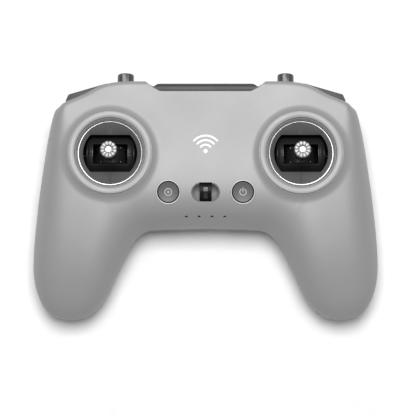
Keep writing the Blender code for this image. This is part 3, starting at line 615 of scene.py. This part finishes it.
def eased(at, knots, values):
    """Straight-line interpolation, with its kinks averaged away over a rib's width."""
    spread = np.linspace(-0.6, 0.6, 13)
    return np.mean([np.interp(at + step, knots, values) for step in spread], axis=0)


def section_height(shape, at, across):
    """0 at the ends of a rib to 1 at its middle. across runs from -1, inner, to 1, outer."""
    inner_power, inner_root, outer_power, outer_root = (
        eased(at, shape[:, 0], shape[:, k]) for k in range(1, 5))
    power = np.where(across < 0, inner_power, outer_power)
    root = np.where(across < 0, inner_root, outer_root)
    return (1 - np.abs(across) ** power) ** (1 / root)


def raise_mounds(x, y, z):
    """Blends the raised collar round each stick into the face."""
    reach = np.hypot(np.abs(x) - STICK_X, y - STICK_Y)
    cone = MOUND_TOP - MOUND_SLOPE * np.maximum(reach - MOUND_RADIUS, 0)
    mix = np.maximum(MOUND_BLEND - np.abs(cone - z), 0) / MOUND_BLEND
    return np.maximum(cone, z) + mix**2 * MOUND_BLEND / 4


def shell_rows(front):
    """Rows of (x, y, z) points over the right half of the front or rear shell's outside."""
    last = len(RIBS) - 1
    rib_steps, across_steps = FRONT_STEPS if front else REAR_STEPS
    at = np.linspace(0, last, rib_steps + 1)
    across = np.sin(np.linspace(-1, 1, across_steps + 1) * math.pi / 2)
    table = along_ribs(at)
    inner, outer = table[:, None, 0:2], table[:, None, 2:4]
    seam, crown, keel = (table[:, None, k] for k in (4, 5, 6))
    plan = inner + (outer - inner) * (across[None, :, None] + 1) / 2
    shape = FRONT_SHAPE if front else REAR_SHAPE
    height = section_height(shape, at[:, None], across[None, :])
    up = 1 if front else -1
    limit = crown if front else keel
    base = np.where(up * (limit - seam) > SKIRT, seam + up * SKIRT, (seam + limit) / 2)
    z = base + (limit - base) * height
    z = raise_mounds(plan[..., 0], plan[..., 1], z) if front else np.maximum(z, 0.0)
    points = np.dstack([plan, z])
    width = outer - inner
    inward = LIP * width / np.maximum(np.linalg.norm(width, axis=2, keepdims=True), LIP)
    foot = seam + up * SEAM_GAP / 2
    lip_height = np.where(up * (base - foot) > 2 * LIP, foot + up * LIP, (foot + base) / 2)
    inner_lip = [np.dstack([inner + inward, foot]), np.dstack([inner, lip_height])]
    outer_lip = [np.dstack([outer, lip_height]), np.dstack([outer - inward, foot])]
    points = np.hstack([*inner_lip, points, *outer_lip])
    points[0, :, 0] = 0.0
    points[..., 0] *= min(1.0, HALF_WIDTH / points[..., 0].max())
    return points


def shell_skin(front):
    """The open outer surface of the front or rear shell, both sides, facing out."""
    rows = shell_rows(front)
    bm = bmesh.new()
    for side in (1, -1):
        grid = [[bm.verts.new((side * x, y, z)) for x, y, z in row] for row in rows]
        for row, following in zip(grid, grid[1:]):
            for a, b, c, d in zip(row, row[1:], following[1:], following):
                bm.faces.new((a, b, c, d))
    bmesh.ops.remove_doubles(bm, verts=bm.verts, dist=SKIN_WELD)
    bmesh.ops.dissolve_degenerate(bm, edges=bm.edges, dist=SKIN_WELD)
    bmesh.ops.recalc_face_normals(bm, faces=bm.faces)
    up = 1 if front else -1
    topmost = max(bm.faces, key=lambda face: up * face.calc_center_median().z)
    if topmost.normal.z * up < 0:
        bmesh.ops.reverse_faces(bm, faces=bm.faces)
    return bm


def thickened(skin):
    """The skin as a closed wall. The skin itself is kept."""
    target = scratch_object(skin.copy())
    wall = target.modifiers.new("Wall", "SOLIDIFY")
    wall.thickness = SHOWN_WALL
    wall.offset = -1
    return evaluated(target)


class Skin:
    """The uncut surface: its height above a place, and its smooth normal nearest to a point."""

    def __init__(self, bm):
        bm.verts.ensure_lookup_table()
        bm.faces.ensure_lookup_table()
        bm.normal_update()
        self.points = [vert.co.copy() for vert in bm.verts]
        self.normals = [vert.normal.copy() for vert in bm.verts]
        self.faces = [[vert.index for vert in face.verts] for face in bm.faces]
        self.tree = BVHTree.FromPolygons(self.points, self.faces)

    def height(self, x, y):
        return self.tree.ray_cast(Vector((x, y, 100)), Vector((0, 0, -1)))[0].z

    def normal_at(self, point):
        """(normal, distance) of the skin where it is nearest to the point."""
        hit, _, face, distance = self.tree.find_nearest(point)
        corners = self.faces[face]
        weights = poly_3d_calc([self.points[corner] for corner in corners], hit)
        normal = Vector((0, 0, 0))
        for corner, weight in zip(corners, weights):
            normal += weight * self.normals[corner]
        return normal.normalized(), distance


def carry_normals(mesh, skin):
    """Shades the cut shell with the skin's own smooth normals, so that no cut shows as a dent."""
    found = [skin.normal_at(vertex.co / MM) for vertex in mesh.vertices]
    normals = [Vector(corner.vector) for corner in mesh.corner_normals]
    for polygon in mesh.polygons:
        for loop in polygon.loop_indices:
            normal, distance = found[mesh.loops[loop].vertex_index]
            if distance < ON_SKIN and normal.dot(polygon.normal) > FACES_OUT:
                normals[loop] = normal
    mesh.normals_split_custom_set(normals)


ON_SKIN, FACES_OUT = 0.01, 0.8


# ---- the shells
WELL_RADIUS = 19.0
BUTTON_HOLE = RING_RADIUS + 0.08
LED_Y, LED_PITCH, LED_COUNT, LED_HOLE, LED_REACH = -11.8, 7.0, 4, 0.85, 0.8
NOTCH = ((25.0, 56.6), (29.0, 58.8), (50.0, 76.4))  # its right side, from the floor outwards
NOTCH_RADII = [4.0, 4.0, 0.0, 0.0, 4.0, 4.0]
POCKET_HALF, POCKET_BACK, POCKET_LOW, POCKET_TOP = 32.8, 53.6, 6.2, 33.3
TOGGLE_MOUTH = (10.0, 12.8, 54.5, 62.4, 0.35)  # width, height, back, front, flare
SCREWS = [name for name in frame["nodes"] if name.endswith("_screw")]
SCREW_HEAD, SCREW_SINK, SCREW_HOLE, BOSS_RADIUS = 2.6, 1.5, 1.6, 4.3
HOLDER_MOUTH, USB_MOUTH = 5.9, (9.8, 4.1)
LABEL, LABEL_PLATE = ((-22, 6), (22, 34)), ((-21.7, 6.3), (21.7, 33.7))


def seat_on(skin, x, y, reach):
    """(point, rotation) of a piece that lies flush with the sloping face, as long as 2 reach."""
    above, below = skin.height(x, y + reach), skin.height(x, y - reach)
    slope = math.atan2(above - below, 2 * reach)
    return Vector((x, y, (above + below) / 2)), Matrix.Rotation(slope, 3, "X")


def antenna_notch():
    outline = list(NOTCH) + [(-x, y) for x, y in reversed(NOTCH)]
    return stack(rounded(outline, NOTCH_RADII), [(30, 0), (35.2, 0), (36.2, 1.0)])


def toggle_mouth(sign):
    """A round-ended upright opening through the top edge, flared at its front."""
    width, height, back, front, flare = TOGGLE_MOUTH
    outline = [(x, z) for z, x in pill(height, width)]
    cutter = stack(outline[::-1], [(back, 0), (front - flare, 0), (front + flare, 2 * flare)])
    return placed(cutter, (sign * TOGGLE.x, 0, TOGGLE.z), ON_TOP_EDGE)


def led_seats(skin):
    """(point, rotation) of each charge light on the face."""
    point, turn = seat_on(skin, 0, LED_Y, LED_REACH)
    for number in range(LED_COUNT):
        aside = (number - (LED_COUNT - 1) / 2) * LED_PITCH
        yield point + Vector((aside, 0, 0)), turn


def front_openings(skin):
    cutters = []
    for sign in (-1, 1):
        well = revolve([(0, 28), (WELL_RADIUS, 28), (WELL_RADIUS, BEZEL_TOP - 1.6),
                        (BEZEL_RADIUS + 0.5, BEZEL_TOP - 1.6), (BEZEL_RADIUS + 0.5, 50), (0, 50)])
        cutters.append(placed(well, (sign * STICK_X, STICK_Y, 0)))
        hole = rod(BUTTON_HOLE, -8, 6, 96)
        cutters.append(placed(hole, (sign * BUTTON_X, BUTTON_SEAT.y, BUTTON_SEAT.z), BUTTON_TILT))
        cutters.append(toggle_mouth(sign))
        mouth = shoulder_outline(rectangle((0.2, -5), (25.8, 8)), sign)
        cutters.append(prism(mouth, SHOULDER_LOW - 0.3, SHOULDER_HIGH + 0.3))
    eye = stack(grow(pill(*EYE_SIZE), 0.2), [(-9, 0), (6, 0)])
    cutters.append(placed(eye, *seat_on(skin, 0, EYE_Y, EYE_REACH)))
    for seat in led_seats(skin):
        cutters.append(placed(rod(LED_HOLE, -4, 3), *seat))
    return together(*cutters)


def antenna_pocket():
    return block((-POCKET_HALF, POCKET_BACK, POCKET_LOW), (POCKET_HALF, 80, POCKET_TOP))


def make_front_shell(skin_mesh, skin):
    openings = (front_openings(skin), antenna_pocket(), antenna_notch())
    wall = cut_in_turn(thickened(skin_mesh), openings)
    piece = add_piece(wall, "shell_front", SHELL, "front_shell")
    carry_normals(piece.data, skin)


def screw_place(node):
    """(x, y, z) of the underside of a screw's head, which is its lowest point."""
    return middle(node, 0), middle(node, 1), node_box(node)[0].z


def make_rear_shell():
    skin_mesh = shell_skin(False)
    skin = Skin(skin_mesh)
    wall = thickened(skin_mesh)
    bosses, cutters = [], []
    for node in SCREWS:
        x, y, foot = screw_place(node)
        seat = foot + SCREW_SINK
        bosses.append(placed(rod(BOSS_RADIUS, seat - SCREW_SINK, seat + 3.2), (x, y, 0)))
        recess = SCREW_HEAD + 0.4
        hole = revolve([(0, -5), (recess, -5), (recess, seat), (SCREW_HOLE, seat),
                        (SCREW_HOLE, seat + 8), (0, seat + 8)], 48)
        cutters.append(placed(hole, (x, y, 0)))
    for sign in (-1, 1):
        mouth = rod(HOLDER_MOUTH, -30, -8, 48)
        cutters.append(placed(mouth, (sign * HOLDER_X, 0, HOLDER_Z), TO_Y))
    cutters.append(placed(stack(pill(*USB_MOUTH), [(-4, 0), (20, 0)]), (0, USB_Y, USB_Z), FACING))
    dial_mouth = shoulder_outline(rectangle((8.6, -6.5), (15.4, 5)), -1, 0.8)
    cutters.append(prism(dial_mouth, 2.7, 15.3))
    label = rounded(rectangle(*LABEL), 3.0)
    cutters.append(stack(label, [(-2, 0.4), (-0.1, 0.4), (0.35, 0)]))
    wall = cut_in_turn(join(wall, *bosses), (together(*cutters), antenna_pocket()))
    piece = add_piece(wall, "shell_rear", SHELL, "rear_shell")
    carry_normals(piece.data, skin)
    plate = prism(rounded(rectangle(*LABEL_PLATE), 2.8), 0.12, 0.34, 0.1)
    add_piece(plate, "rear_label_plate", COVER)


# ---- gimbals and sticks
WINDOW_RADIUS, WINDOW_HALF_HEIGHT = 14.7, 10.1
PETALS, PETAL_START, CROWN_RADIUS = 12, 2.3, 4.6
KNURL_LOW, KNURL_HIGH, KNURLS, KNURL_DEPTH = 36.5, 43.5, 18, 0.16


def window_edge(angle):
    """Distance from the axis to the rim of the stick's window: a circle cut off above and below."""
    return min(WINDOW_RADIUS, WINDOW_HALF_HEIGHT / max(abs(math.sin(angle)), 1e-6))


def make_bezel(side, centre):
    top, edge = BEZEL_TOP, BEZEL_RADIUS
    profile = [
        (19.45, top), (edge - 0.15, top), (edge - 0.04, top - 0.04), (edge, top - 0.15),
        (edge, top - 1.3), (18.7, top - 1.3), (18.7, COVER_TOP + 0.3), (17.8, COVER_TOP + 0.3),
        (17.8, COVER_TOP + 1.3), (18.7, COVER_TOP + 2.3), (19.1, top - 0.6), (19.25, top - 0.12)]
    add_piece(placed(revolve(profile, 192), centre), side + "_bezel", BEZEL,
              side + "_stick_bezel")


def make_trim_ring(side, centre):
    outer, top = half_width(side + "_trim_ring"), node_box(side + "_trim_ring")[1].z
    inner, foot = outer - 0.45, top - 0.45
    profile = [(outer, foot), (outer, top - 0.02), (outer - 0.03, top), (outer - 0.42, top - 0.05),
               (inner, top - 0.1), (inner, foot)]
    material = brushed(side + "_ring_metal", 0.29, 0.3, centre)
    add_piece(placed(revolve(profile, 192), centre), side + "_bright_ring", material,
              side + "_trim_ring")


def make_cover(side, centre):
    rim = 18.6

    def follow_window(angle, radius, height):
        return (window_edge(angle) + radius - 1, height) if radius < 5 else (radius, height)

    profile = [(1, COVER_BOTTOM), (1, COVER_TOP - 0.2), (1.05, COVER_TOP - 0.06),
               (1.2, COVER_TOP), (rim - 0.3, COVER_TOP), (rim, COVER_TOP - 0.3), (rim, COVER_BOTTOM)]
    plate = revolve(profile, 288, follow_window)
    marks = []
    for y in (-13.1, 13.1):
        marks.append(block((-0.17, y - 2.9, COVER_TOP - 0.5), (0.17, y + 2.9, COVER_TOP + 1)))
        for tick in (y - 2, y - 1, y, y + 1, y + 2):
            marks.append(block((-0.9, tick - 0.11, COVER_TOP - 0.3),
                               (0.9, tick + 0.11, COVER_TOP + 1)))
    plate = cut_in_turn(plate, marks)
    add_piece(placed(plate, centre), side + "_window_plate", COVER,
              side + "_gimbal_cover")


def make_yoke(side, pivot):
    """The barrel that tips fore and aft: slotted for the rotor, with scored lines either side."""
    end, radius = 14.0, 12.2
    profile = [(0, -end), (7.0, -end), (9.2, -end + 0.5), (10.7, -12.9), (11.7, -11.6),
               (radius, -9.9), (radius, 9.9), (11.7, 11.6), (10.7, 12.9), (9.2, end - 0.5),
               (7.0, end), (0, end)]
    barrel = placed(revolve(rounded(profile, 1.2, closed=False), 128), turn=TO_X)
    barrel = join(barrel, placed(rod(1.4, -18.7, 18.7), turn=TO_X))
    slot = prism(rounded(rectangle((-9.5, -5.4), (9.5, 5.4)), 0.4), -13, 30)
    bores = placed(rod(1.7, -9.2, 9.2), turn=TO_Y)
    grooves = []
    for sign in (-1, 1):
        for x, floor in ((10.6, 11.6), (12.7, 10.6)):
            ring = revolve([(floor, -0.1), (16, -0.1), (16, 0.1), (floor, 0.1)], 96)
            grooves.append(placed(ring, (sign * x, 0, 0), TO_X))
        ends = sorted((sign * 9.7, sign * 13.6))
        grooves.append(block((ends[0], -0.12, 9.8), (ends[1], 0.12, 20)))
        for angle in (34, 42, 50):
            line = block((-10.4, -0.1, radius - 0.35), (10.4, 0.1, radius + 1))
            grooves.append(placed(line, turn=Matrix.Rotation(math.radians(sign * angle), 3, "X")))
    barrel = cut_in_turn(barrel, (slot, bores, *grooves))
    add_piece(placed(barrel, pivot), side + "_barrel", BARREL, side + "_yoke",
              side + "_gimbal_yoke")


def make_rotor(side, pivot):
    """The wheel inside the barrel that tips left and right and carries the post."""
    half, radius = 5.0, 8.8
    profile = [(0, -half), (radius - 0.4, -half), (radius, -half + 0.4), (radius, -2.6),
               (radius - 0.5, -2.4), (radius - 0.5, 2.4), (radius, 2.6), (radius, half - 0.4),
               (radius - 0.4, half), (0, half)]
    wheel = placed(revolve(profile, 96), turn=TO_Y)
    pins = placed(rod(1.4, -8.8, 8.8), turn=TO_Y)
    collar = revolve(rounded([(0, 6), (3.1, 6), (3.1, 8.4), (2.2, 8.9), (0, 8.9)], 0.3, False), 48)
    post = rod(1.5, 0, 15, edge=0.3)
    wheel = join(wheel, pins, collar, post)
    add_piece(placed(wheel, pivot), side + "_wheel", BLACK, side + "_rotor",
              side + "_stick_arm")
    for across, angle in (("a", -42), ("b", 42)):
        turn = Matrix.Rotation(math.radians(angle), 3, "Y")
        place = Vector(pivot) + turn @ Vector((0, 0, radius + 0.12))
        for along, y in (("a", -3.9), ("b", 3.9)):
            stud = placed(rod(0.75, -0.4, 0.0, 24, 0.1), place + Vector((0, y, 0)), turn)
            add_piece(stud, f"{side}_wheel_stud_{across}{along}", STEEL,
                      body=side + "_stick_arm")


def petal(angle, radius, height):
    """Scoops the gaps between the stick crown's petals out of a plain turned shape."""
    gap = min(max((math.cos(PETALS * angle) - 0.45) / 0.45, 0), 1)
    depth = gap * gap * (3 - 2 * gap)
    if radius < PETAL_START or height < STICK_TOP - 3.2:
        return radius, height
    outer = (radius - PETAL_START) / (CROWN_RADIUS - PETAL_START)
    low = 0.7 * min(max((height - STICK_TOP + 2.6) / 1.6, 0), 1)
    return radius - 0.16 * depth * outer, height - low * depth * min(1, 3 * outer)


def knurl(angle, radius, height):
    """Fine diamond ridges round the waist of the stick, and the petals above."""
    if KNURL_LOW < height < KNURL_HIGH:
        across, rise = KNURLS * angle, 4.2 * height
        return radius + KNURL_DEPTH * (math.sin(across + rise) * math.sin(across - rise)), height
    return petal(angle, radius, height)


def make_stick(side, centre):
    top = STICK_TOP
    crown = [(0, top - 1.1), (1.95, top - 1.1), (2.0, top - 0.45), (2.12, top - 0.12),
             (2.35, top - 0.02), (3.1, top), (4.0, top - 0.02), (4.3, top - 0.1), (4.5, top - 0.3),
             (CROWN_RADIUS, top - 0.7), (CROWN_RADIUS, top - 1.3), (4.5, top - 2.0),
             (4.3, top - 2.8), (4.05, top - 3.4)]
    waist = [(3.5, top - 4.8), (3.1, top - 6.2), (2.85, top - 7.4)]
    grip = [(2.75, height) for height in np.arange(43.4, 36.4, -0.18)]
    foot = [(2.9, 36.3), (2.9, 35.4), (2.4, 35.0), (2.4, 32.4), (2.7, 32.0), (2.7, 30.4), (2.5, 30.2),
            (1.8, 30.2), (1.8, 36.4), (0, 36.4)]
    shaft = revolve(crown + waist + grip + foot, 192, knurl)
    material = brushed(side + "_stick_metal", 0.3, 0.5, centre)
    add_piece(placed(shaft, centre), side + "_control_stick", material,
              side + "_stick", side + "_stick_arm")
    core = [(0, top - 0.3), (0.45, top - 0.3), (0.55, top - 0.1), (1.45, top - 0.06),
            (1.6, top - 0.2), (1.6, top - 1.1), (0, top - 1.1)]
    material = brushed(side + "_core_metal", 0.45, 0.4, centre)
    add_piece(placed(revolve(core, 64), centre), side + "_stick_core", material,
              body=side + "_stick_arm")


def make_gimbal(side, sign):
    centre = (sign * STICK_X, STICK_Y, 0)
    pivot = (sign * STICK_X, STICK_Y, PIVOT_Z)
    make_bezel(side, centre)
    make_trim_ring(side, centre)
    make_cover(side, centre)
    make_yoke(side, pivot)
    make_rotor(side, pivot)
    make_stick(side, centre)


# ---- face controls
DISH_RADIUS = 5.3
SIGNAL_Y = 23.4


def dish(radius):
    """Height of a button's hollowed top above its seat."""
    return -0.3 + 0.5 * min(radius / DISH_RADIUS, 1) ** 2.4


def drape(bm):
    """Lays a flat shape drawn round the origin on the button's dished top."""
    for vert in bm.verts:
        vert.co.z += dish(math.hypot(vert.co.x, vert.co.y))
    return bm


def band(radius, width, start, end, steps=32):
    """The outline of part of a ring with round ends."""
    half = width / 2
    tip, tail = arc((0, 0), radius, end, start, 1)
    outside, inside = (arc((0, 0), radius + half, start, end, steps),
                       arc((0, 0), radius - half, end, start, steps))
    return (outside + arc(tip, half, end, end + 180, 6)[1:-1]
            + inside + arc(tail, half, start + 180, start + 360, 6)[1:-1])


def make_button(name, sign, marks):
    seat = (sign * BUTTON_X, BUTTON_SEAT.y, BUTTON_SEAT.z)
    inner, outer = RING_RADIUS - 0.55, RING_RADIUS
    foot = RING_PROUD - RING_DEPTH
    ring = [(inner, foot), (inner, RING_PROUD - 0.12), (inner + 0.05, RING_PROUD - 0.03),
            (inner + 0.15, RING_PROUD), (outer - 0.15, RING_PROUD), (outer - 0.04, RING_PROUD - 0.04),
            (outer, RING_PROUD - 0.2), (outer, foot)]
    metal = brushed(name + "_rim_metal", 0.56, 0.42, seat, 0.3)
    add_piece(placed(revolve(ring, 128), seat, BUTTON_TILT), name + "_button_rim", metal,
              name + "_button_ring")
    top = [(radius, dish(radius)) for radius in np.linspace(0, DISH_RADIUS, 16)]
    edge = [(5.45, 0.12), (5.53, -0.1), (5.6, -0.6), (BUTTON_RADIUS, -1.4)]
    stem = [(BUTTON_RADIUS, -2.2), (1.6, -2.2), (1.6, -6), (0, -6)]
    cap = placed(revolve(top + edge + stem, 128), seat, BUTTON_TILT)
    add_piece(cap, name + "_button_cap", BUTTON, name + "_button", name + "_push")
    for number, outline in enumerate(marks):
        mark = placed(drape(prism(outline, -0.05, 0.035)), seat, BUTTON_TILT)
        add_piece(mark, f"{name}_button_mark_{number}", GLYPH, body=name + "_push")


def power_marks():
    return [band(1.75, 0.55, 125, 415, 48), rounded(rectangle((-0.28, -0.1), (0.28, 2.5)), 0.27)]


def function_marks():
    """A plain ring with a dot in it, for a button whose function the pilot chooses."""
    return [band(1.85, 0.5, 0, 359.5, 72), circle(0.62, 32)]


def make_lanyard_eye(skin):
    point, turn = seat_on(skin, 0, EYE_Y, EYE_REACH)
    outline = pill(*EYE_SIZE, 24)
    walls = stack(outline, [(-8.8, -1.5), (-8.4, -0.5), (-1.2, 0), (-0.25, 0), (0.05, -0.25)])
    bowl = stack(outline, [(-7.4, -4.3), (-7.0, -3.1), (-5.9, -2.0), (-4.2, -1.2), (-2.2, -0.7),
                           (-0.4, -0.3), (3.0, -0.25)])
    notch = block((-3.55, -9, -2.1), (3.55, 9, 3))
    walls = cut_in_turn(walls, (bowl, notch))
    add_piece(placed(walls, point, turn), "lanyard_bowl", EYE_PLASTIC,
              "lanyard_recess")
    make_lanyard_bar(point, turn)


def make_lanyard_bar(point, turn):
    """The strap bar across the eye: a glossy bridge with a sunk channel along it. A grey pad in the
    channel is painted highlight, standing for the light the bridge catches there.
    """
    half, end = 3.25, EYE_SIZE[1] / 2
    arch = arc((0, -8.2), 8.6, 55, 125, 24)
    side_view = [(-end, -1.8), (end, -1.8), (end, 0.0), *arch, (-end, 0.0)]
    bridge = placed(prism(side_view, -half, half, 0.25), turn=SIDEWAYS)
    channel = block((-1.45, -4.2, -0.75), (1.45, 4.3, 3), 0.3)
    bridge = cut(bridge, channel)
    add_piece(placed(bridge, point, turn), "lanyard_bridge", BRIDGE,
              "lanyard_bar")
    # A grey pad in the channel: painted highlight where the glossy bridge would catch the light.
    highlight_pad = placed(block((-1.3, 0.3, -0.85), (1.3, 2.7, -0.05), 0.2), point, turn)
    add_piece(highlight_pad, "lanyard_bridge_painted_highlight", HIGHLIGHT_PAD)
    lip = placed(block((-1.3, -4.1, -0.85), (1.3, -3.1, -0.45), 0.12), point, turn)
    add_piece(lip, "lanyard_bridge_lip", BRIDGE)


def make_lights(skin):
    """The smoked windows of the four charge lights."""
    for number, seat in enumerate(led_seats(skin)):
        lens = placed(rod(0.72, -0.75, -0.2, edge=0.15), *seat)
        add_piece(lens, f"charge_light_window_{number}", GLOSS_BLACK)


def signal_mark(skin):
    """A generic radio-wave sign printed on the face: a dot under three arcs."""
    place = (0, SIGNAL_Y, skin.height(0, SIGNAL_Y))
    shapes = [circle(1.1, 32)] + [band(radius, 1.0, 42, 138) for radius in (3.5, 6.0, 8.5)]
    for number, outline in enumerate(shapes):
        mark = placed(prism(outline, -0.05, 0.04), place)
        add_piece(mark, f"signal_mark_{number}", INK)


# ---- top edge
def make_toggle(side, sign):
    reach = TOGGLE_END - TOGGLE.y
    radius = 4.5
    end = [(0, reach), (2.2, reach - 0.04), (3.4, reach - 0.16), (4.1, reach - 0.5),
           (4.4, reach - 0.95), (radius, reach - 1.5)]
    foot = [(radius, 4.9), (4.3, 4.6), (2.4, 3.4), (2.4, -1.4), (2.2, -1.6), (0, -1.6)]
    knob = placed(revolve(end + foot, 96), turn=TO_Y)
    knob = combine("INTERSECT", knob, block((-6, -3, -TOGGLE_FLAT), (6, 20, TOGGLE_FLAT)))
    axle = placed(rod(1.1, -5.9, 5.9, edge=0.2), turn=TO_X)
    knob = placed(join(knob, axle), (sign * TOGGLE.x, TOGGLE.y, TOGGLE.z))
    add_piece(knob, side + "_toggle_knob", TOGGLE_PLASTIC,
              side + "_toggle", side + "_toggle_lever")


def make_shoulder(side, sign):
    low, high = SHOULDER_LOW, SHOULDER_HIGH
    arm = shoulder_outline([(1.1, -4.9), (5.3, -4.9), (5.3, -1.0), (1.1, -1.0)], sign, 0.4)
    blade_points = [(0.6, -1.4), (25.4, -1.4), (25.4, 1.2), (22.6, 3.9), (0.6, 1.4)]
    blade_radii = [0.5, 0.7, 0.7, 1.2, 0.7]
    blade = shoulder_outline(blade_points, sign, blade_radii)
    paddle = join(prism(blade, low, high, 0.3), prism(arm, low + 1.5, high - 1.5, 0.3))
    pin = (*on_shoulder(3.2, -4.9, sign), 0)
    paddle = join(paddle, placed(rod(2.1, low, high, edge=0.3), pin))
    paddle = cut(paddle, placed(rod(1.3, 0, 60), pin))
    add_piece(paddle, side + "_shoulder_paddle", SHOULDER_PLASTIC,
              side + "_shoulder_button", side + "_shoulder_push")


def make_antenna():
    """The fold-out panel: a slab whose back edge curls round its hinge pin."""
    back, front = ANTENNA_LOW.y - HINGE.y, ANTENNA_HIGH.y - HINGE.y
    foot = ANTENNA_LOW.z - HINGE.z
    half = 29.3
    side_view = arc((0, 0), 2.6, 0, 90, 20) + arc((-1.0, 1.0), 1.6, 90, 180, 10)
    lower = [(-2.6, 0), (back, foot), (front - 1.2, foot), (front, foot + 1.8), (2.6, 0)]
    side_view += rounded(lower, [0, 0.8, 0.8, 0.8, 0])[1:-1]
    slab = placed(prism(side_view, -half, half, 0.4), turn=SIDEWAYS)
    corner = 5.0
    plan = ([(-half - 1, back - 1), (half + 1, back - 1), (half + 1, front - corner)]
            + arc((half - corner, front - corner), corner, 0, 90, 16)
            + arc((corner - half, front - corner), corner, 90, 180, 16)
            + [(-half - 1, front - corner)])
    slab = combine("INTERSECT", slab, prism(plan, -40, 40))
    pins = placed(rod(1.2, -31.4, 31.4, edge=0.2), turn=TO_X)
    slab = placed(join(slab, pins), tuple(HINGE))
    add_piece(slab, "antenna_slab", ANTENNA_PLASTIC, "antenna", "antenna_panel")


# ---- dial, lower edge, screws
def make_dial():
    axis = Vector((*on_shoulder(1, 0, -1), 0)) - Vector((*on_shoulder(0, 0, -1), 0))

    def ridges(angle, radius, height):
        return (radius + 0.28 * (math.cos(36 * angle) - 1) if radius > 5.4 else radius), height

    profile = [(1.4, -2.9), (4.6, -2.9), (5.0, -2.7), (5.7, -2.2), (6.0, -1.6), (6.0, 1.6),
               (5.7, 2.2), (5.0, 2.7), (4.6, 2.9), (1.4, 2.9)]
    wheel = placed(revolve(profile, 288, ridges), DIAL, turn_to(axis.normalized()))
    add_piece(wheel, "tilt_dial_wheel", DARK, "tilt_dial", "dial_wheel")


def make_holders():
    for side, sign in SIDES:
        profile = [(0, 17.2), (5.1, 17.2), (5.6, 16.7), (5.6, 0.3), (5.45, 0.05), (5.1, 0),
                   (4.95, 0.12), (4.8, 0.5), (4.8, 3.0), (4.55, 3.3), (4.55, 3.7), (4.8, 4.0),
                   (4.8, 15.6), (4.4, 16), (0, 16)]
        sleeve = placed(revolve(profile, 96), (sign * HOLDER_X, HOLDER_Y, HOLDER_Z), TO_Y)
        add_piece(sleeve, side + "_stick_sleeve", RUBBER,
                  side + "_stick_holder")


def make_usb_port():
    shell = stack(pill(9.0, 3.3), [(-7.5, 0), (-0.2, 0), (0, -0.1)])
    shell = cut(shell, stack(pill(8.3, 2.6), [(-6.2, 0), (-0.25, 0), (0.6, 0.3)]))
    tongue = block((-3.2, -0.35, -6.5), (3.2, 0.35, -0.6), 0.12)
    port = placed(join(shell, tongue), (0, USB_Y, USB_Z), FACING)
    add_piece(port, "usb_port_shell", STEEL, "usb_c_port")


def make_screw(node):
    """A countersunk machine screw with a hexalobular socket, seen from below."""
    x, y, foot = screw_place(node)

    def lobes(angle, radius, height):
        return (radius * (1 + 0.12 * math.cos(6 * angle)), height) if radius < 1.4 else (radius, height)

    profile = [(0, 1.0), (1.1, 1.0), (1.2, 0.12), (1.5, 0.0), (2.2, 0.0), (2.5, 0.15), (2.6, 0.45),
               (2.6, 1.4), (1.45, 1.4)]
    thread = []
    for turn in np.arange(1.8, 13.0, 0.5):
        thread += [(1.2, turn), (0.98, turn + 0.25)]
    profile += thread + [(0.8, 13.4), (0, 13.5)]
    screw = placed(revolve(profile, 72, lobes), (x, y, foot))
    add_piece(screw, node + "_machined", STEEL, node)


# ---- the CAD nodes that stay
FINISHES = {
    "shell_grey": SHELL, "bezel_grey": BEZEL, "bright_metal": BRIGHT, "dark_plastic": DARK,
    "black_plastic": BLACK, "gloss_black": GLOSS_BLACK, "rubber_black": RUBBER, "steel": STEEL,
    "board_green": BOARD, "cell_sleeve": SLEEVE, "light_guide": GUIDE,
}


def finish_kept_nodes():
    for node in frame["nodes"].values():
        for material_slot in node.material_slots:
            material_slot.material = FINISHES[material_slot.material.name.split(".")[0]]


make_camera()
make_studio()
finish_kept_nodes()
face_mesh = shell_skin(True)
face = Skin(face_mesh)
make_front_shell(face_mesh, face)
make_rear_shell()
for side_name, side_sign in SIDES:
    make_gimbal(side_name, side_sign)
    make_toggle(side_name, side_sign)
    make_shoulder(side_name, side_sign)
make_button("c1", -1, function_marks())
make_button("power", 1, power_marks())
make_lanyard_eye(face)
make_lights(face)
signal_mark(face)
make_antenna()
make_dial()
make_holders()
make_usb_port()
for screw_node in SCREWS:
    make_screw(screw_node)
